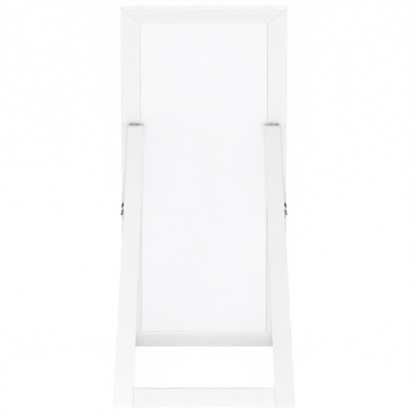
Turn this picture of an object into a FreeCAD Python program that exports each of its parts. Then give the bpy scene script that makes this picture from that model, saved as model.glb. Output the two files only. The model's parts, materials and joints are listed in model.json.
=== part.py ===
import FreeCAD, Part

import math
import os
import re

import Sketcher

# Full-length floor mirror: a mitred wooden frame with a glass mirror, leaning
# back on a folding rear stand. All sizes are millimetres and degrees.
# World axes: +X to the right seen from behind, +Y out of the mirror's face, +Z up.
# The origin is on the floor, under the middle of the open mirror.

SIZES = [
    # The mirror frame
    ("frame_width", 600, "outer width of the frame"),
    ("frame_height", 1615, "outer height of the frame"),
    ("frame_depth", 18, "thickness of the frame moulding"),
    ("rail_face", 70, "width of the moulding seen from behind"),
    ("rebate_lip", 10, "width of the front lip that holds the glass"),
    ("rebate_depth", 11, "depth of the rebate from the back"),
    ("edge_ease", 2, "eased corner along the outer edges"),
    ("sight_bevel", 3, "bevel along the front sight edge"),
    ("lean", 8, "backward lean of the frame in use"),
    # The sheets in the rebate and what holds them
    ("glass_thickness", 4, "mirror glass"),
    ("foam_thickness", 1, "foam sheet behind the glass"),
    ("panel_thickness", 3, "back panel"),
    ("rebate_play", 0.5, "gap round the sheets in the rebate"),
    ("point_reach", 8, "panel point lying on the back panel"),
    ("point_bite", 6, "panel point driven into the wood"),
    ("point_breadth", 6, "breadth of a panel point"),
    ("point_thickness", 0.6, "thickness of a panel point"),
    ("biscuit_length", 40, "joining biscuit along the mitre"),
    ("biscuit_breadth", 20, "joining biscuit across the mitre"),
    ("biscuit_thickness", 4, "thickness of a joining biscuit"),
    # The stand
    ("leg_angle", 12.34, "angle of the open legs from upright"),
    ("leg_thickness", 20, "thickness of the legs and the foot rail"),
    ("leg_top_inset", 24.1, "frame's outer edge in to a leg's outer edge at its top"),
    ("leg_top_width", 59.2, "width of a leg at its top"),
    ("leg_foot_reach", 31.9, "frame's outer edge out to a leg's outer edge at the floor"),
    ("leg_foot_width", 71.8, "width of a leg at the floor"),
    ("leg_top_gap", 5, "hinge axis to the top end of a leg"),
    ("foot_rail_height", 72, "height of the foot rail"),
    ("dowel_diameter", 8, "dowel in the foot rail's ends"),
    ("dowel_length", 60, "length of a dowel"),
    ("dowel_low", 20, "floor end of the rail to the lower dowel"),
    ("dowel_high", 52, "floor end of the rail to the upper dowel"),
    # The butt hinges
    ("hinge_rise", 1076, "frame's lower edge to the hinge axis, along the frame"),
    ("hinge_offset", 11.4, "middle of a stile in to a hinge's middle"),
    ("hinge_length", 31.5, "length of a hinge"),
    ("barrel_diameter", 5, "hinge knuckle"),
    ("barrel_clear", 0.2, "air between a knuckle and the wood"),
    ("leaf_thickness", 1.2, "hinge leaf"),
    ("leaf_drop", 20, "hinge axis to a leaf's lower edge"),
    ("leaf_relief", 0.6, "air between a leaf and the other leaf's knuckle"),
    ("knuckle_gap", 0.2, "air between two knuckles"),
    ("pin_diameter", 2.4, "hinge pin"),
    ("pin_play", 0.05, "running clearance of the pin in a knuckle"),
    ("pin_head_diameter", 4, "formed head of the pin"),
    ("pin_head_height", 1, "height of a pin head"),
    ("leaf_screw_spread", 9, "hinge's middle to a leaf screw"),
    ("leaf_screw_drop", 12.5, "hinge axis to a leaf screw"),
    # The screws
    ("screw_diameter", 3.5, "shank of a wood screw"),
    ("screw_head_diameter", 6.4, "countersunk head of a wood screw"),
    ("screw_head_height", 1.3, "height of the countersunk head"),
    ("screw_length", 14, "length of a wood screw"),
    ("screw_tip", 3, "pointed end of a wood screw"),
    # The folding stays
    ("stay_frame_drop", 388, "hinge axis to a stay's frame pivot, along the frame"),
    ("stay_frame_standoff", 10, "frame's back to the frame pivot"),
    ("stay_leg_drop", 342.5, "hinge axis to a stay's leg pivot, along the leg"),
    ("stay_leg_inset", 13.6, "leg's front face to the leg pivot"),
    ("link_width", 11, "width of a stay link"),
    ("link_thickness", 1.6, "thickness of a stay link"),
    ("link_gap", 0.3, "air between two stay links"),
    ("stay_clearance", 0.6, "air between a leg's side or plate and a stay link"),
    ("plate_thickness", 1.3, "thin end of the plate on a leg's side"),
    ("plate_length", 32, "length of the plate on a leg's side"),
    ("plate_width", 10, "width of the plate on a leg's side"),
    ("plate_screw_spread", 10, "leg pivot to a plate screw"),
    ("bracket_thickness", 1.5, "base of a frame bracket"),
    ("bracket_height", 14, "frame bracket along the frame"),
    ("bracket_foot", 32, "frame bracket across the frame"),
    ("bracket_corner", 3, "cut corners of a bracket's base"),
    ("bracket_screw_inset", 7, "base's inner end to its first screw"),
    ("bracket_screw_spread", 11, "first bracket screw to the second"),
    ("rivet_diameter", 4, "rivet of a stay pivot"),
    ("rivet_play", 0.05, "running clearance of a rivet in a link"),
    ("rivet_head_diameter", 7, "rivet head"),
    ("rivet_head_height", 2, "height of a rivet head"),
    ("leg_rivet_head_height", 3.5, "height of the taller head at the leg pivot"),
]

# What follows from those sizes. The frame's own axes start at its lower back edge
# and lean with it, and the stand's own axes start on the hinge axis.
LAYOUT = [
    ("half_width", "frame_width / 2", "middle plane to the frame's outer edge"),
    ("moulding_width", "rail_face + rebate_lip", "width of the moulding in front"),
    ("opening_half", "half_width - rail_face", "half the rebate's width"),
    ("opening_height", "frame_height - 2 * rail_face", "the rebate's height"),
    ("glass_back", "rebate_depth - glass_thickness", "frame's back to the glass"),
    ("foam_back", "glass_back - foam_thickness", "frame's back to the foam sheet"),
    ("panel_back", "foam_back - panel_thickness", "frame's back to the back panel"),
    ("biscuit_radius", "(biscuit_length ^ 2 + biscuit_breadth ^ 2) / (4 * biscuit_breadth)",
     "round side of a joining biscuit"),
    ("axis_offset", "barrel_diameter / 2 + barrel_clear", "wood to the hinge axis"),
    ("frame_z", "-edge_ease * sin(lean)", "sets the frame's lower edge on the floor"),
    ("axis_z", "frame_z + hinge_rise * cos(lean) - axis_offset * sin(lean)", "height of the axis"),
    ("leg_back", "axis_offset + leg_thickness", "hinge axis to a leg's rear face"),
    ("leg_long", "(axis_z + leg_back * sin(leg_angle)) / cos(leg_angle)", "axis to the rear foot edge"),
    ("axis_behind", "axis_offset * cos(lean) + hinge_rise * sin(lean)", "lower back edge to the axis"),
    ("foot_behind", "axis_behind + leg_back * cos(leg_angle) + leg_long * sin(leg_angle)",
     "frame's lower back edge to the rear foot edge"),
    ("face_ahead", "frame_depth * cos(lean) - edge_ease * sin(lean)", "lower back edge to the front"),
    ("frame_y", "(foot_behind - face_ahead) / 2", "puts the origin under the middle"),
    ("axis_y", "frame_y - axis_behind", "place of the hinge axis"),
    ("fold_angle", "lean + leg_angle", "how far the stand folds"),
    ("hinge_spread", "half_width - rail_face / 2 - hinge_offset", "middle plane to a hinge's middle"),
    ("leg_top_outer", "half_width - leg_top_inset", "outer edge of a leg at its top"),
    ("leg_top_inner", "leg_top_outer - leg_top_width", "inner edge of a leg at its top"),
    ("leg_foot_outer", "half_width + leg_foot_reach", "outer edge of a leg at the floor"),
    ("leg_foot_inner", "leg_foot_outer - leg_foot_width", "inner edge of a leg at the floor"),
    ("leg_run", "leg_long - leg_top_gap", "length of a leg"),
    ("inner_slope", "(leg_foot_inner - leg_top_inner) / leg_run", "splay of the inner edge"),
    ("outer_slope", "(leg_foot_outer - leg_top_outer) / leg_run", "splay of the outer edge"),
    ("knuckle_end", "hinge_length / 6", "middle of the hinge to a knuckle joint"),
    ("plate_out", "leg_top_outer + outer_slope * (stay_leg_drop + plate_length / 2 - leg_top_gap)"
     " + plate_thickness", "outer face of the plate on the leg"),
    ("leg_out", "leg_top_outer + outer_slope * (stay_frame_drop + link_width / 2 - leg_top_gap)",
     "the leg's side where the folded frame link ends"),
    ("link_in", "max(leg_out; plate_out) + stay_clearance", "the frame link's inner face"),
    ("link_out", "link_in + link_thickness", "the frame link's outer face"),
    ("arm_in", "link_out + link_gap", "inner face of the leg link and the bracket's ear"),
    ("arm_out", "arm_in + link_thickness", "their outer face"),
    ("pivot_f_y", "axis_offset - stay_frame_standoff", "frame pivot from the axis, square to the frame"),
    ("pivot_g_y", "-axis_offset - stay_leg_inset", "leg pivot from the axis, square to the leg"),
    ("open_g_y", "pivot_g_y * cos(fold_angle) - stay_leg_drop * sin(fold_angle)",
     "the open leg pivot, square to the frame"),
    ("open_g_z", "-pivot_g_y * sin(fold_angle) - stay_leg_drop * cos(fold_angle)",
     "the open leg pivot, along the frame"),
    ("span_y", "open_g_y - pivot_f_y", "the open stay, square to the frame"),
    ("span_z", "open_g_z + stay_frame_drop", "the open stay, along the frame"),
    ("stay_span", "sqrt(span_y ^ 2 + span_z ^ 2)", "length of the open, straight stay"),
    ("pivot_step", "stay_frame_drop - stay_leg_drop", "the folded pivots apart, along the frame"),
    ("pivot_side", "pivot_f_y - pivot_g_y", "the folded pivots apart, square to the frame"),
    ("frame_link", "(stay_span ^ 2 - pivot_step ^ 2 - pivot_side ^ 2) / (2 * (stay_span - pivot_step))",
     "frame link, which lies along the frame when folded"),
    ("leg_link", "stay_span - frame_link", "leg link, which takes up the rest"),
    ("stay_turn", "lean + atan2(span_z; span_y) / 1 deg", "direction of the open stay"),
    ("pivot_f_world_y", "axis_y + pivot_f_y * cos(lean) + stay_frame_drop * sin(lean)", "frame pivot"),
    ("pivot_f_world_z", "axis_z + pivot_f_y * sin(lean) - stay_frame_drop * cos(lean)", "frame pivot"),
]

RAIL_POINTS = 3
STILE_POINTS = 6
SIDES = (("left", -1), ("right", 1))

doc = FreeCAD.newDocument("floor_mirror")
sizes = doc.addObject("Spreadsheet::Sheet", "Sizes")
layout = doc.addObject("Spreadsheet::Sheet", "Layout")
sheet_of = {alias: "Sizes" for alias, value, meaning in SIZES}
sheet_of.update({alias: "Layout" for alias, words, meaning in LAYOUT})
nodes = {}


def bound(words):
    """Turns a formula of plain names into one that reads the two sheets."""
    return re.sub(r"[a-z]\w*", lambda name: sheet_name(name.group()), words)


def sheet_name(word):
    """Gives a size its sheet's name and leaves other words alone."""
    return sheet_of[word] + "." + word if word in sheet_of else word


def number(words):
    """Works a formula out."""
    found = sizes.evalExpression(bound(words))
    return float(getattr(found, "Value", found))


def fill_sheets():
    """Writes the sizes and what follows from them into the two sheets."""
    for row, (alias, value, meaning) in enumerate(SIZES, 1):
        sizes.set("A%d" % row, meaning)
        sizes.set("B%d" % row, str(value))
        sizes.setAlias("B%d" % row, alias)
    for row, (alias, words, meaning) in enumerate(LAYOUT, 1):
        layout.set("A%d" % row, meaning)
        layout.set("B%d" % row, "=" + bound(words))
        layout.setAlias("B%d" % row, alias)
    doc.recompute()


def signed(side, words):
    """Gives a distance from the middle plane its sign on that side."""
    return "%d * (%s)" % (side, words)


def layer_start(side, inner, outer):
    """Gives the lower X of a layer between two distances from the middle plane."""
    return inner if side > 0 else "-(%s)" % outer


# Places

def on_frame(across, depth, rise):
    """Gives a point in the leaning frame's own axes as a vector formula."""
    along_y = "frame_y + (%s) * cos(lean) - (%s) * sin(lean)" % (depth, rise)
    along_z = "frame_z + (%s) * sin(lean) + (%s) * cos(lean)" % (depth, rise)
    return "vector(%s; %s; %s)" % (across, along_y, along_z)


def on_stand(across, depth, drop):
    """Gives a point in the open stand's own axes as a vector formula."""
    along_y = "axis_y + (%s) * cos(leg_angle) - (%s) * sin(leg_angle)" % (depth, drop)
    along_z = "axis_z - (%s) * sin(leg_angle) - (%s) * cos(leg_angle)" % (depth, drop)
    return "vector(%s; %s; %s)" % (across, along_y, along_z)


def on_stay(across, along):
    """Gives a point along the open stay, from its frame pivot, as a vector formula."""
    along_y = "pivot_f_world_y + (%s) * cos(stay_turn)" % along
    along_z = "pivot_f_world_z + (%s) * sin(stay_turn)" % along
    return "vector(%s; %s; %s)" % (across, along_y, along_z)


def about_x(angle):
    """Gives a turn about the X axis."""
    return "rotation(vector(1; 0; 0); %s)" % angle


def place(thing, point, turn):
    """Puts an object at a point with a turn, both as formulas."""
    thing.setExpression("Placement", bound("placement(%s; %s)" % (point, turn)))


# Sketches and features

def new_body(label):
    """Starts a body."""
    body = doc.addObject("PartDesign::Body", label)
    body.Label = label
    return body


def new_sketch(body, role, offset="0"):
    """Starts a sketch on one of the body's own planes, moved along the plane's normal."""
    sketch = body.newObject("Sketcher::SketchObject", body.Name + "_sketch")
    plane = next(item for item in body.Origin.OriginFeatures if item.Role == role)
    sketch.AttachmentSupport = [(plane, "")]
    sketch.MapMode = "FlatFace"
    sketch.setExpression("AttachmentOffset.Base.z", bound(offset))
    return sketch


def hold(sketch, kind, geometry, point, words):
    """Holds a point of the sketch at a formula's distance from the sketch's origin."""
    index = sketch.addConstraint(Sketcher.Constraint(kind, -1, 1, geometry, point, number(words)))
    sketch.setExpression("Constraints[%d]" % index, bound(words))


def draw_outline(sketch, corners):
    """Draws a closed outline of straight lines through the given corners."""
    spots = [FreeCAD.Vector(number(across), number(along), 0) for across, along in corners]
    count = len(spots)
    for index in range(count):
        line = Part.LineSegment(spots[index], spots[(index + 1) % count])
        sketch.addGeometry(line, False)
    for index in range(count):
        following = (index + 1) % count
        sketch.addConstraint(Sketcher.Constraint("Coincident", index, 2, following, 1))
    for index, (across, along) in enumerate(corners):
        hold(sketch, "DistanceX", index, 1, across)
        hold(sketch, "DistanceY", index, 1, along)


def draw_circle(sketch, across, along, radius):
    """Draws a circle."""
    middle = FreeCAD.Vector(number(across), number(along), 0)
    circle = Part.Circle(middle, FreeCAD.Vector(0, 0, 1), number(radius))
    index = sketch.addGeometry(circle, False)
    hold(sketch, "DistanceX", index, 3, across)
    hold(sketch, "DistanceY", index, 3, along)
    size = sketch.addConstraint(Sketcher.Constraint("Radius", index, number(radius)))
    sketch.setExpression("Constraints[%d]" % size, bound(radius))


def draw_link(sketch, length, width):
    """Draws a flat bar with round ends, from the sketch's origin along its first axis."""
    reach = number(length)
    radius = number(width) / 2
    normal = FreeCAD.Vector(0, 0, 1)
    quarter = math.pi / 2
    far_end = Part.Circle(FreeCAD.Vector(reach, 0, 0), normal, radius)
    near_end = Part.Circle(FreeCAD.Vector(0, 0, 0), normal, radius)
    top = sketch.addGeometry(
        Part.LineSegment(FreeCAD.Vector(0, radius, 0), FreeCAD.Vector(reach, radius, 0)), False)
    far = sketch.addGeometry(Part.ArcOfCircle(far_end, -quarter, quarter), False)
    bottom = sketch.addGeometry(
        Part.LineSegment(FreeCAD.Vector(reach, -radius, 0), FreeCAD.Vector(0, -radius, 0)), False)
    near = sketch.addGeometry(Part.ArcOfCircle(near_end, quarter, 3 * quarter), False)
    sketch.addConstraint(Sketcher.Constraint("Tangent", top, 2, far, 2))
    sketch.addConstraint(Sketcher.Constraint("Tangent", far, 1, bottom, 1))
    sketch.addConstraint(Sketcher.Constraint("Tangent", bottom, 2, near, 2))
    sketch.addConstraint(Sketcher.Constraint("Tangent", near, 1, top, 1))
    sketch.addConstraint(Sketcher.Constraint("Equal", far, near))
    sketch.addConstraint(Sketcher.Constraint("Coincident", near, 3, -1, 1))
    sketch.addConstraint(Sketcher.Constraint("PointOnObject", far, 3, -1))
    hold(sketch, "DistanceX", far, 3, length)
    size = sketch.addConstraint(Sketcher.Constraint("Radius", near, radius))
    sketch.setExpression("Constraints[%d]" % size, bound(width + " / 2"))


def pad(body, sketch, length, both_ways=False):
    """Raises a sketch into material."""
    feature = body.newObject("PartDesign::Pad", body.Name + "_pad")
    feature.Profile = sketch
    feature.setExpression("Length", bound(length))
    feature.Midplane = both_ways
    return feature


def cut_through(body, sketch):
    """Cuts a sketch through the whole body, both ways, and makes sure that it cut."""
    doc.recompute()
    before = body.Tip.Shape.Volume
    feature = body.newObject("PartDesign::Pocket", body.Name + "_cut")
    feature.Profile = sketch
    feature.Type = "ThroughAll"
    feature.Midplane = True
    doc.recompute()
    if feature.Shape.Volume >= before:
        raise RuntimeError("nothing was cut from " + body.Label)
    return feature


def ease_long_edges(body, shortest):
    """Rounds the body's long straight edges."""
    doc.recompute()
    base = body.Tip
    least = number(shortest)
    names = ["Edge%d" % (index + 1) for index, edge in enumerate(base.Shape.Edges) if edge.Length > least]
    feature = body.newObject("PartDesign::Fillet", body.Name + "_ease")
    feature.Base = (base, names)
    feature.setExpression("Radius", bound("edge_ease"))


def revolve_about_x(body, profile):
    """Turns an outline of distances along X and radii about the X axis."""
    sketch = new_sketch(body, "XY_Plane")
    draw_outline(sketch, profile)
    feature = body.newObject("PartDesign::Revolution", body.Name + "_turned")
    feature.Profile = sketch
    feature.ReferenceAxis = (sketch, ["H_Axis"])
    feature.Angle = 360


def node_from(node, blank, *tools):
    """Names a finished sub-part, after cutting the room that its neighbours take."""
    if not tools:
        blank.Label = node
        nodes[node] = blank
        return
    room = doc.addObject("Part::Compound", node + "_room")
    room.Links = list(tools)
    finished = doc.addObject("Part::Cut", node)
    finished.Base = blank
    finished.Tool = room
    finished.Label = node
    nodes[node] = finished


def node_group(node, pieces):
    """Names a group of like pieces as one sub-part."""
    group = doc.addObject("Part::Compound", node)
    group.Links = pieces
    group.Label = node
    nodes[node] = group
    return group


# Small pieces that repeat

def add_screw(point, turn):
    """Makes a countersunk wood screw, pointing along its own Z axis from its head's face."""
    head = doc.addObject("Part::Cone", "screw_head")
    head.setExpression("Radius1", bound("screw_head_diameter / 2"))
    head.setExpression("Radius2", bound("screw_diameter / 2"))
    head.setExpression("Height", bound("screw_head_height"))
    shank = doc.addObject("Part::Cylinder", "screw_shank")
    shank.setExpression("Radius", bound("screw_diameter / 2"))
    shank.setExpression("Height", bound("screw_length - screw_head_height - screw_tip"))
    shank.setExpression("Placement.Base.z", bound("screw_head_height"))
    tip = doc.addObject("Part::Cone", "screw_tip")
    tip.setExpression("Radius1", bound("screw_diameter / 2"))
    tip.setExpression("Radius2", bound("screw_diameter / 10"))
    tip.setExpression("Height", bound("screw_tip"))
    tip.setExpression("Placement.Base.z", bound("screw_length - screw_tip"))
    screw = doc.addObject("Part::MultiFuse", "screw")
    screw.Shapes = [head, shank, tip]
    place(screw, point, turn)
    return screw


def add_point(across, rise, length, breadth):
    """Makes a panel point: a flat steel tab that lies on the back panel."""
    tab = doc.addObject("Part::Box", "panel_point")
    tab.setExpression("Length", bound(length))
    tab.setExpression("Width", bound("point_thickness"))
    tab.setExpression("Height", bound(breadth))
    place(tab, on_frame(across, "panel_back - point_thickness", rise), about_x("lean"))
    return tab


def add_biscuit(side, upper):
    """Makes a lens-shaped joining biscuit across one mitre."""
    rise = "frame_height - rail_face / 2" if upper else "rail_face / 2"
    tilt = side if upper else -side
    halves = []
    for way in (-1, 1):
        shift = "%d * (biscuit_radius - biscuit_breadth / 2) / sqrt(2)" % way
        half = doc.addObject("Part::Cylinder", "biscuit_half")
        half.setExpression("Radius", bound("biscuit_radius"))
        half.setExpression("Height", bound("biscuit_thickness"))
        across = signed(side, "half_width - rail_face / 2") + " + " + shift
        along = "%s - %d * (%s)" % (rise, tilt, shift)
        place(half, on_frame(across, "(frame_depth - biscuit_thickness) / 2", along), about_x("lean - 90"))
        halves.append(half)
    biscuit = doc.addObject("Part::MultiCommon", "biscuit")
    biscuit.Shapes = halves
    return biscuit


def add_dowel(side, rise):
    """Makes a dowel that joins one leg and the foot rail."""
    dowel = doc.addObject("Part::Cylinder", "dowel")
    dowel.setExpression("Radius", bound("dowel_diameter / 2"))
    dowel.setExpression("Height", bound("dowel_length"))
    drop = "(leg_long - %s)" % rise
    joint = "leg_top_inner + inner_slope * (%s - leg_top_gap)" % drop
    start = signed(side, joint) + " - dowel_length / 2"
    depth = "-axis_offset - leg_thickness / 2"
    place(dowel, on_stand(start, depth, drop), "rotation(vector(0; 1; 0); 90)")
    return dowel


# The mirror frame

def moulding_profile():
    """Gives the moulding's section: distance in from the outer edge, depth from the back."""
    return [
        ("edge_ease", "0"),
        ("rail_face", "0"),
        ("rail_face", "rebate_depth"),
        ("moulding_width", "rebate_depth"),
        ("moulding_width", "frame_depth - sight_bevel"),
        ("moulding_width - sight_bevel", "frame_depth"),
        ("edge_ease", "frame_depth"),
        ("0", "frame_depth - edge_ease"),
        ("0", "edge_ease"),
    ]


def make_rail(node, outer, inward, tools):
    """Makes the top or bottom rail and cuts its two mitres."""
    body = new_body(node + "_blank")
    sketch = new_sketch(body, "YZ_Plane")
    section = [(depth, "%s + %d * (%s)" % (outer, inward, across)) for across, depth in moulding_profile()]
    draw_outline(sketch, section)
    pad(body, sketch, "frame_width", both_ways=True)
    past = "%s - %d * frame_depth" % (outer, inward)
    far = "%s + %d * (moulding_width + frame_depth)" % (outer, inward)
    for side in (-1, 1):
        mitre = new_sketch(body, "XZ_Plane")
        draw_outline(mitre, [
            (signed(side, "half_width + frame_depth"), past),
            (signed(side, "half_width + frame_depth"), far),
            (signed(side, "half_width - moulding_width - frame_depth"), far),
        ])
        cut_through(body, mitre)
    place(body, on_frame("0", "0", "0"), about_x("lean"))
    node_from(node, body, *tools)


def make_stile(node, side, tools):
    """Makes one upright stile and cuts its two mitres."""
    body = new_body(node + "_blank")
    sketch = new_sketch(body, "XY_Plane")
    section = [(signed(side, "half_width - (%s)" % across), depth) for across, depth in moulding_profile()]
    draw_outline(sketch, section)
    pad(body, sketch, "frame_height")
    inside = signed(side, "half_width - moulding_width - frame_depth")
    outside = signed(side, "half_width + frame_depth")
    for outer, inward in (("0", 1), ("frame_height", -1)):
        past = "%s - %d * frame_depth" % (outer, inward)
        far = "%s + %d * (moulding_width + frame_depth)" % (outer, inward)
        mitre = new_sketch(body, "XZ_Plane")
        draw_outline(mitre, [(outside, past), (inside, past), (inside, far)])
        cut_through(body, mitre)
    place(body, on_frame("0", "0", "0"), about_x("lean"))
    node_from(node, body, *tools)


def make_sheet(node, thickness, back):
    """Makes one of the flat sheets that lie in the rebate."""
    sheet = doc.addObject("Part::Box", node)
    sheet.setExpression("Length", bound("2 * (opening_half - rebate_play)"))
    sheet.setExpression("Width", bound(thickness))
    sheet.setExpression("Height", bound("opening_height - 2 * rebate_play"))
    place(sheet, on_frame("rebate_play - opening_half", back, "rail_face + rebate_play"), about_x("lean"))
    node_from(node, sheet)


def make_panel_points():
    """Spaces the panel points round the rebate."""
    points = []
    length = "point_reach + point_bite"
    for index in range(1, RAIL_POINTS + 1):
        across = "-opening_half + 2 * opening_half * %d / %d - point_breadth / 2" % (index, RAIL_POINTS + 1)
        points.append(add_point(across, "rail_face - point_bite", "point_breadth", length))
        upper = "frame_height - rail_face - point_reach"
        points.append(add_point(across, upper, "point_breadth", length))
    for index in range(1, STILE_POINTS + 1):
        rise = "rail_face + opening_height * %d / %d - point_breadth / 2" % (index, STILE_POINTS + 1)
        points.append(add_point("-opening_half - point_bite", rise, length, "point_breadth"))
        points.append(add_point("opening_half - point_reach", rise, length, "point_breadth"))
    return node_group("panel_points", points)


def make_biscuits():
    """Puts a joining biscuit in each mitre."""
    biscuits = [add_biscuit(side, upper) for name, side in SIDES for upper in (False, True)]
    return node_group("corner_biscuits", biscuits)


# The butt hinges

def leaf_outline(frame_leaf):
    """Gives a leaf's outline, with its knuckles' tabs up to the hinge axis."""
    end = "hinge_length / 2"
    under = "-(barrel_diameter / 2 + leaf_relief)"
    if frame_leaf:
        notch = "knuckle_end + knuckle_gap / 2"
        return [
            ("-" + end, "0"), ("-(%s)" % notch, "0"), ("-(%s)" % notch, under), (notch, under),
            (notch, "0"), (end, "0"), (end, "-leaf_drop"), ("-" + end, "-leaf_drop"),
        ]
    tab = "knuckle_end - knuckle_gap / 2"
    return [
        ("-(%s)" % tab, "0"), (tab, "0"), (tab, under), (end, under),
        (end, "-leaf_drop"), ("-" + end, "-leaf_drop"), ("-" + end, under), ("-(%s)" % tab, under),
    ]


def make_leaf(node, side, frame_leaf, screws):
    """Makes one hinge leaf, rolled into knuckles round the pin."""
    body = new_body(node + "_blank")
    plate = new_sketch(body, "XZ_Plane", "-axis_offset" if frame_leaf else "axis_offset - leaf_thickness")
    draw_outline(plate, leaf_outline(frame_leaf))
    pad(body, plate, "leaf_thickness")
    outer_start = "knuckle_end + knuckle_gap / 2"
    outer_length = "hinge_length / 2 - knuckle_end - knuckle_gap / 2"
    spans = [("-hinge_length / 2", outer_length), (outer_start, outer_length)]
    if not frame_leaf:
        spans = [("knuckle_gap / 2 - knuckle_end", "2 * knuckle_end - knuckle_gap")]
    for start, length in spans:
        knuckle = new_sketch(body, "YZ_Plane", start)
        draw_circle(knuckle, "0", "0", "barrel_diameter / 2")
        pad(body, knuckle, length)
    bore = new_sketch(body, "YZ_Plane")
    draw_circle(bore, "0", "0", "pin_diameter / 2 + pin_play")
    cut_through(body, bore)
    turn = "lean" if frame_leaf else "-leg_angle"
    place(body, "vector(%s; axis_y; axis_z)" % signed(side, "hinge_spread"), about_x(turn))
    node_from(node, body, screws)


def make_hinge_pin(node, side):
    """Makes a hinge pin with a formed head at each end."""
    body = new_body(node)
    radius = "pin_diameter / 2"
    head = "pin_head_diameter / 2"
    inner = "hinge_length / 2 + knuckle_gap"
    outer = inner + " + pin_head_height"
    revolve_about_x(body, [
        ("-(%s)" % outer, "0"), ("-(%s)" % outer, radius), ("-(%s)" % inner, head),
        ("-(%s)" % inner, radius), (inner, radius), (inner, head), (outer, radius), (outer, "0"),
    ])
    place(body, "vector(%s; axis_y; axis_z)" % signed(side, "hinge_spread"), about_x("0"))
    node_from(node, body)


def make_leaf_screws(node, frame_leaf):
    """Makes the screws of both hinges' leaves on one part."""
    screws = []
    for name, side in SIDES:
        for way in (-1, 1):
            across = signed(side, "hinge_spread") + " + %d * leaf_screw_spread" % way
            if frame_leaf:
                point = on_frame(across, "-leaf_thickness", "hinge_rise - leaf_screw_drop")
                screws.append(add_screw(point, about_x("lean - 90")))
            else:
                point = on_stand(across, "leaf_thickness - axis_offset", "leaf_screw_drop")
                screws.append(add_screw(point, about_x("90 - leg_angle")))
    return node_group(node, screws)


# The folding stays

def make_bracket(node, side, screws):
    """Makes the bracket on the frame's back, with an ear that carries the frame link."""
    body = new_body(node + "_blank")
    half = "bracket_height / 2"
    inner = signed(side, "arm_out - bracket_foot")
    corner = signed(side, "arm_out - bracket_foot + bracket_corner")
    outer = signed(side, "arm_out")
    base = new_sketch(body, "XZ_Plane")
    draw_outline(base, [
        (outer, "-" + half), (corner, "-" + half), (inner, "bracket_corner - " + half),
        (inner, half + " - bracket_corner"), (corner, half), (outer, half),
    ])
    pad(body, base, "bracket_thickness")
    start = layer_start(side, "arm_in", "arm_out")
    ear = new_sketch(body, "YZ_Plane", start)
    draw_outline(ear, [
        ("0", "-" + half), ("0", half), ("-bracket_thickness", half),
        ("-stay_frame_standoff", "link_width / 2"), ("-stay_frame_standoff", "-link_width / 2"),
        ("-bracket_thickness", "-" + half),
    ])
    pad(body, ear, "link_thickness")
    tip = new_sketch(body, "YZ_Plane", start)
    draw_circle(tip, "-stay_frame_standoff", "0", "link_width / 2")
    pad(body, tip, "link_thickness")
    hole = new_sketch(body, "YZ_Plane")
    draw_circle(hole, "-stay_frame_standoff", "0", "rivet_diameter / 2")
    cut_through(body, hole)
    place(body, on_frame("0", "0", "hinge_rise - stay_frame_drop"), about_x("lean"))
    node_from(node, body, screws)


def make_leg_plate(node, side, screws):
    """Makes the plate on a leg's splayed side, with an outer face square to the pivot."""
    body = new_body(node + "_blank")
    high = "(stay_leg_drop - plate_length / 2)"
    low = "(stay_leg_drop + plate_length / 2)"
    leg_side = "leg_top_outer + outer_slope * (%s - leg_top_gap)"
    outline = new_sketch(body, "XZ_Plane", "axis_offset + stay_leg_inset - plate_width / 2")
    draw_outline(outline, [
        (signed(side, leg_side % high), "-" + high), (signed(side, "plate_out"), "-" + high),
        (signed(side, "plate_out"), "-" + low), (signed(side, leg_side % low), "-" + low),
    ])
    pad(body, outline, "plate_width")
    place(body, on_stand("0", "0", "0"), about_x("-leg_angle"))
    node_from(node, body, screws)


def make_link(node, length, start, near_hole, far_hole, point):
    """Makes one flat link of a stay, with a rivet hole at each end."""
    body = new_body(node)
    bar = new_sketch(body, "YZ_Plane")
    draw_link(bar, length, "link_width")
    pad(body, bar, "link_thickness")
    holes = new_sketch(body, "YZ_Plane")
    draw_circle(holes, "0", "0", near_hole)
    draw_circle(holes, length, "0", far_hole)
    cut_through(body, holes)
    place(body, on_stay(start, point), about_x("stay_turn"))
    node_from(node, body)


def make_rivet(node, side, inner, head_height, point):
    """Makes a rivet that is flush inside and has a round head outside."""
    body = new_body(node)
    radius = "rivet_diameter / 2"
    head = "rivet_head_diameter / 2"
    crown = "arm_out + %s" % head_height
    revolve_about_x(body, [
        (signed(side, inner), "0"), (signed(side, inner), radius), (signed(side, "arm_out"), radius),
        (signed(side, "arm_out"), head), (signed(side, "arm_out + %s / 2" % head_height), head),
        (signed(side, crown), radius), (signed(side, crown), "0"),
    ])
    place(body, on_stay("0", point), about_x("stay_turn"))
    node_from(node, body)


def make_bracket_screws():
    """Makes the screws of both frame brackets."""
    screws = []
    for name, side in SIDES:
        for index in range(2):
            inner = "arm_out - bracket_foot + bracket_screw_inset + %d * bracket_screw_spread" % index
            point = on_frame(signed(side, inner), "-bracket_thickness", "hinge_rise - stay_frame_drop")
            screws.append(add_screw(point, about_x("lean - 90")))
    return node_group("stay_frame_screws", screws)


def make_plate_screws():
    """Makes the screws of both leg plates."""
    screws = []
    for name, side in SIDES:
        for way in (-1, 1):
            drop = "(stay_leg_drop + %d * plate_screw_spread)" % way
            point = on_stand(signed(side, "plate_out"), "pivot_g_y", drop)
            screws.append(add_screw(point, "rotation(vector(0; 1; 0); %d)" % (-90 * side)))
    return node_group("stay_leg_screws", screws)


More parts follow.
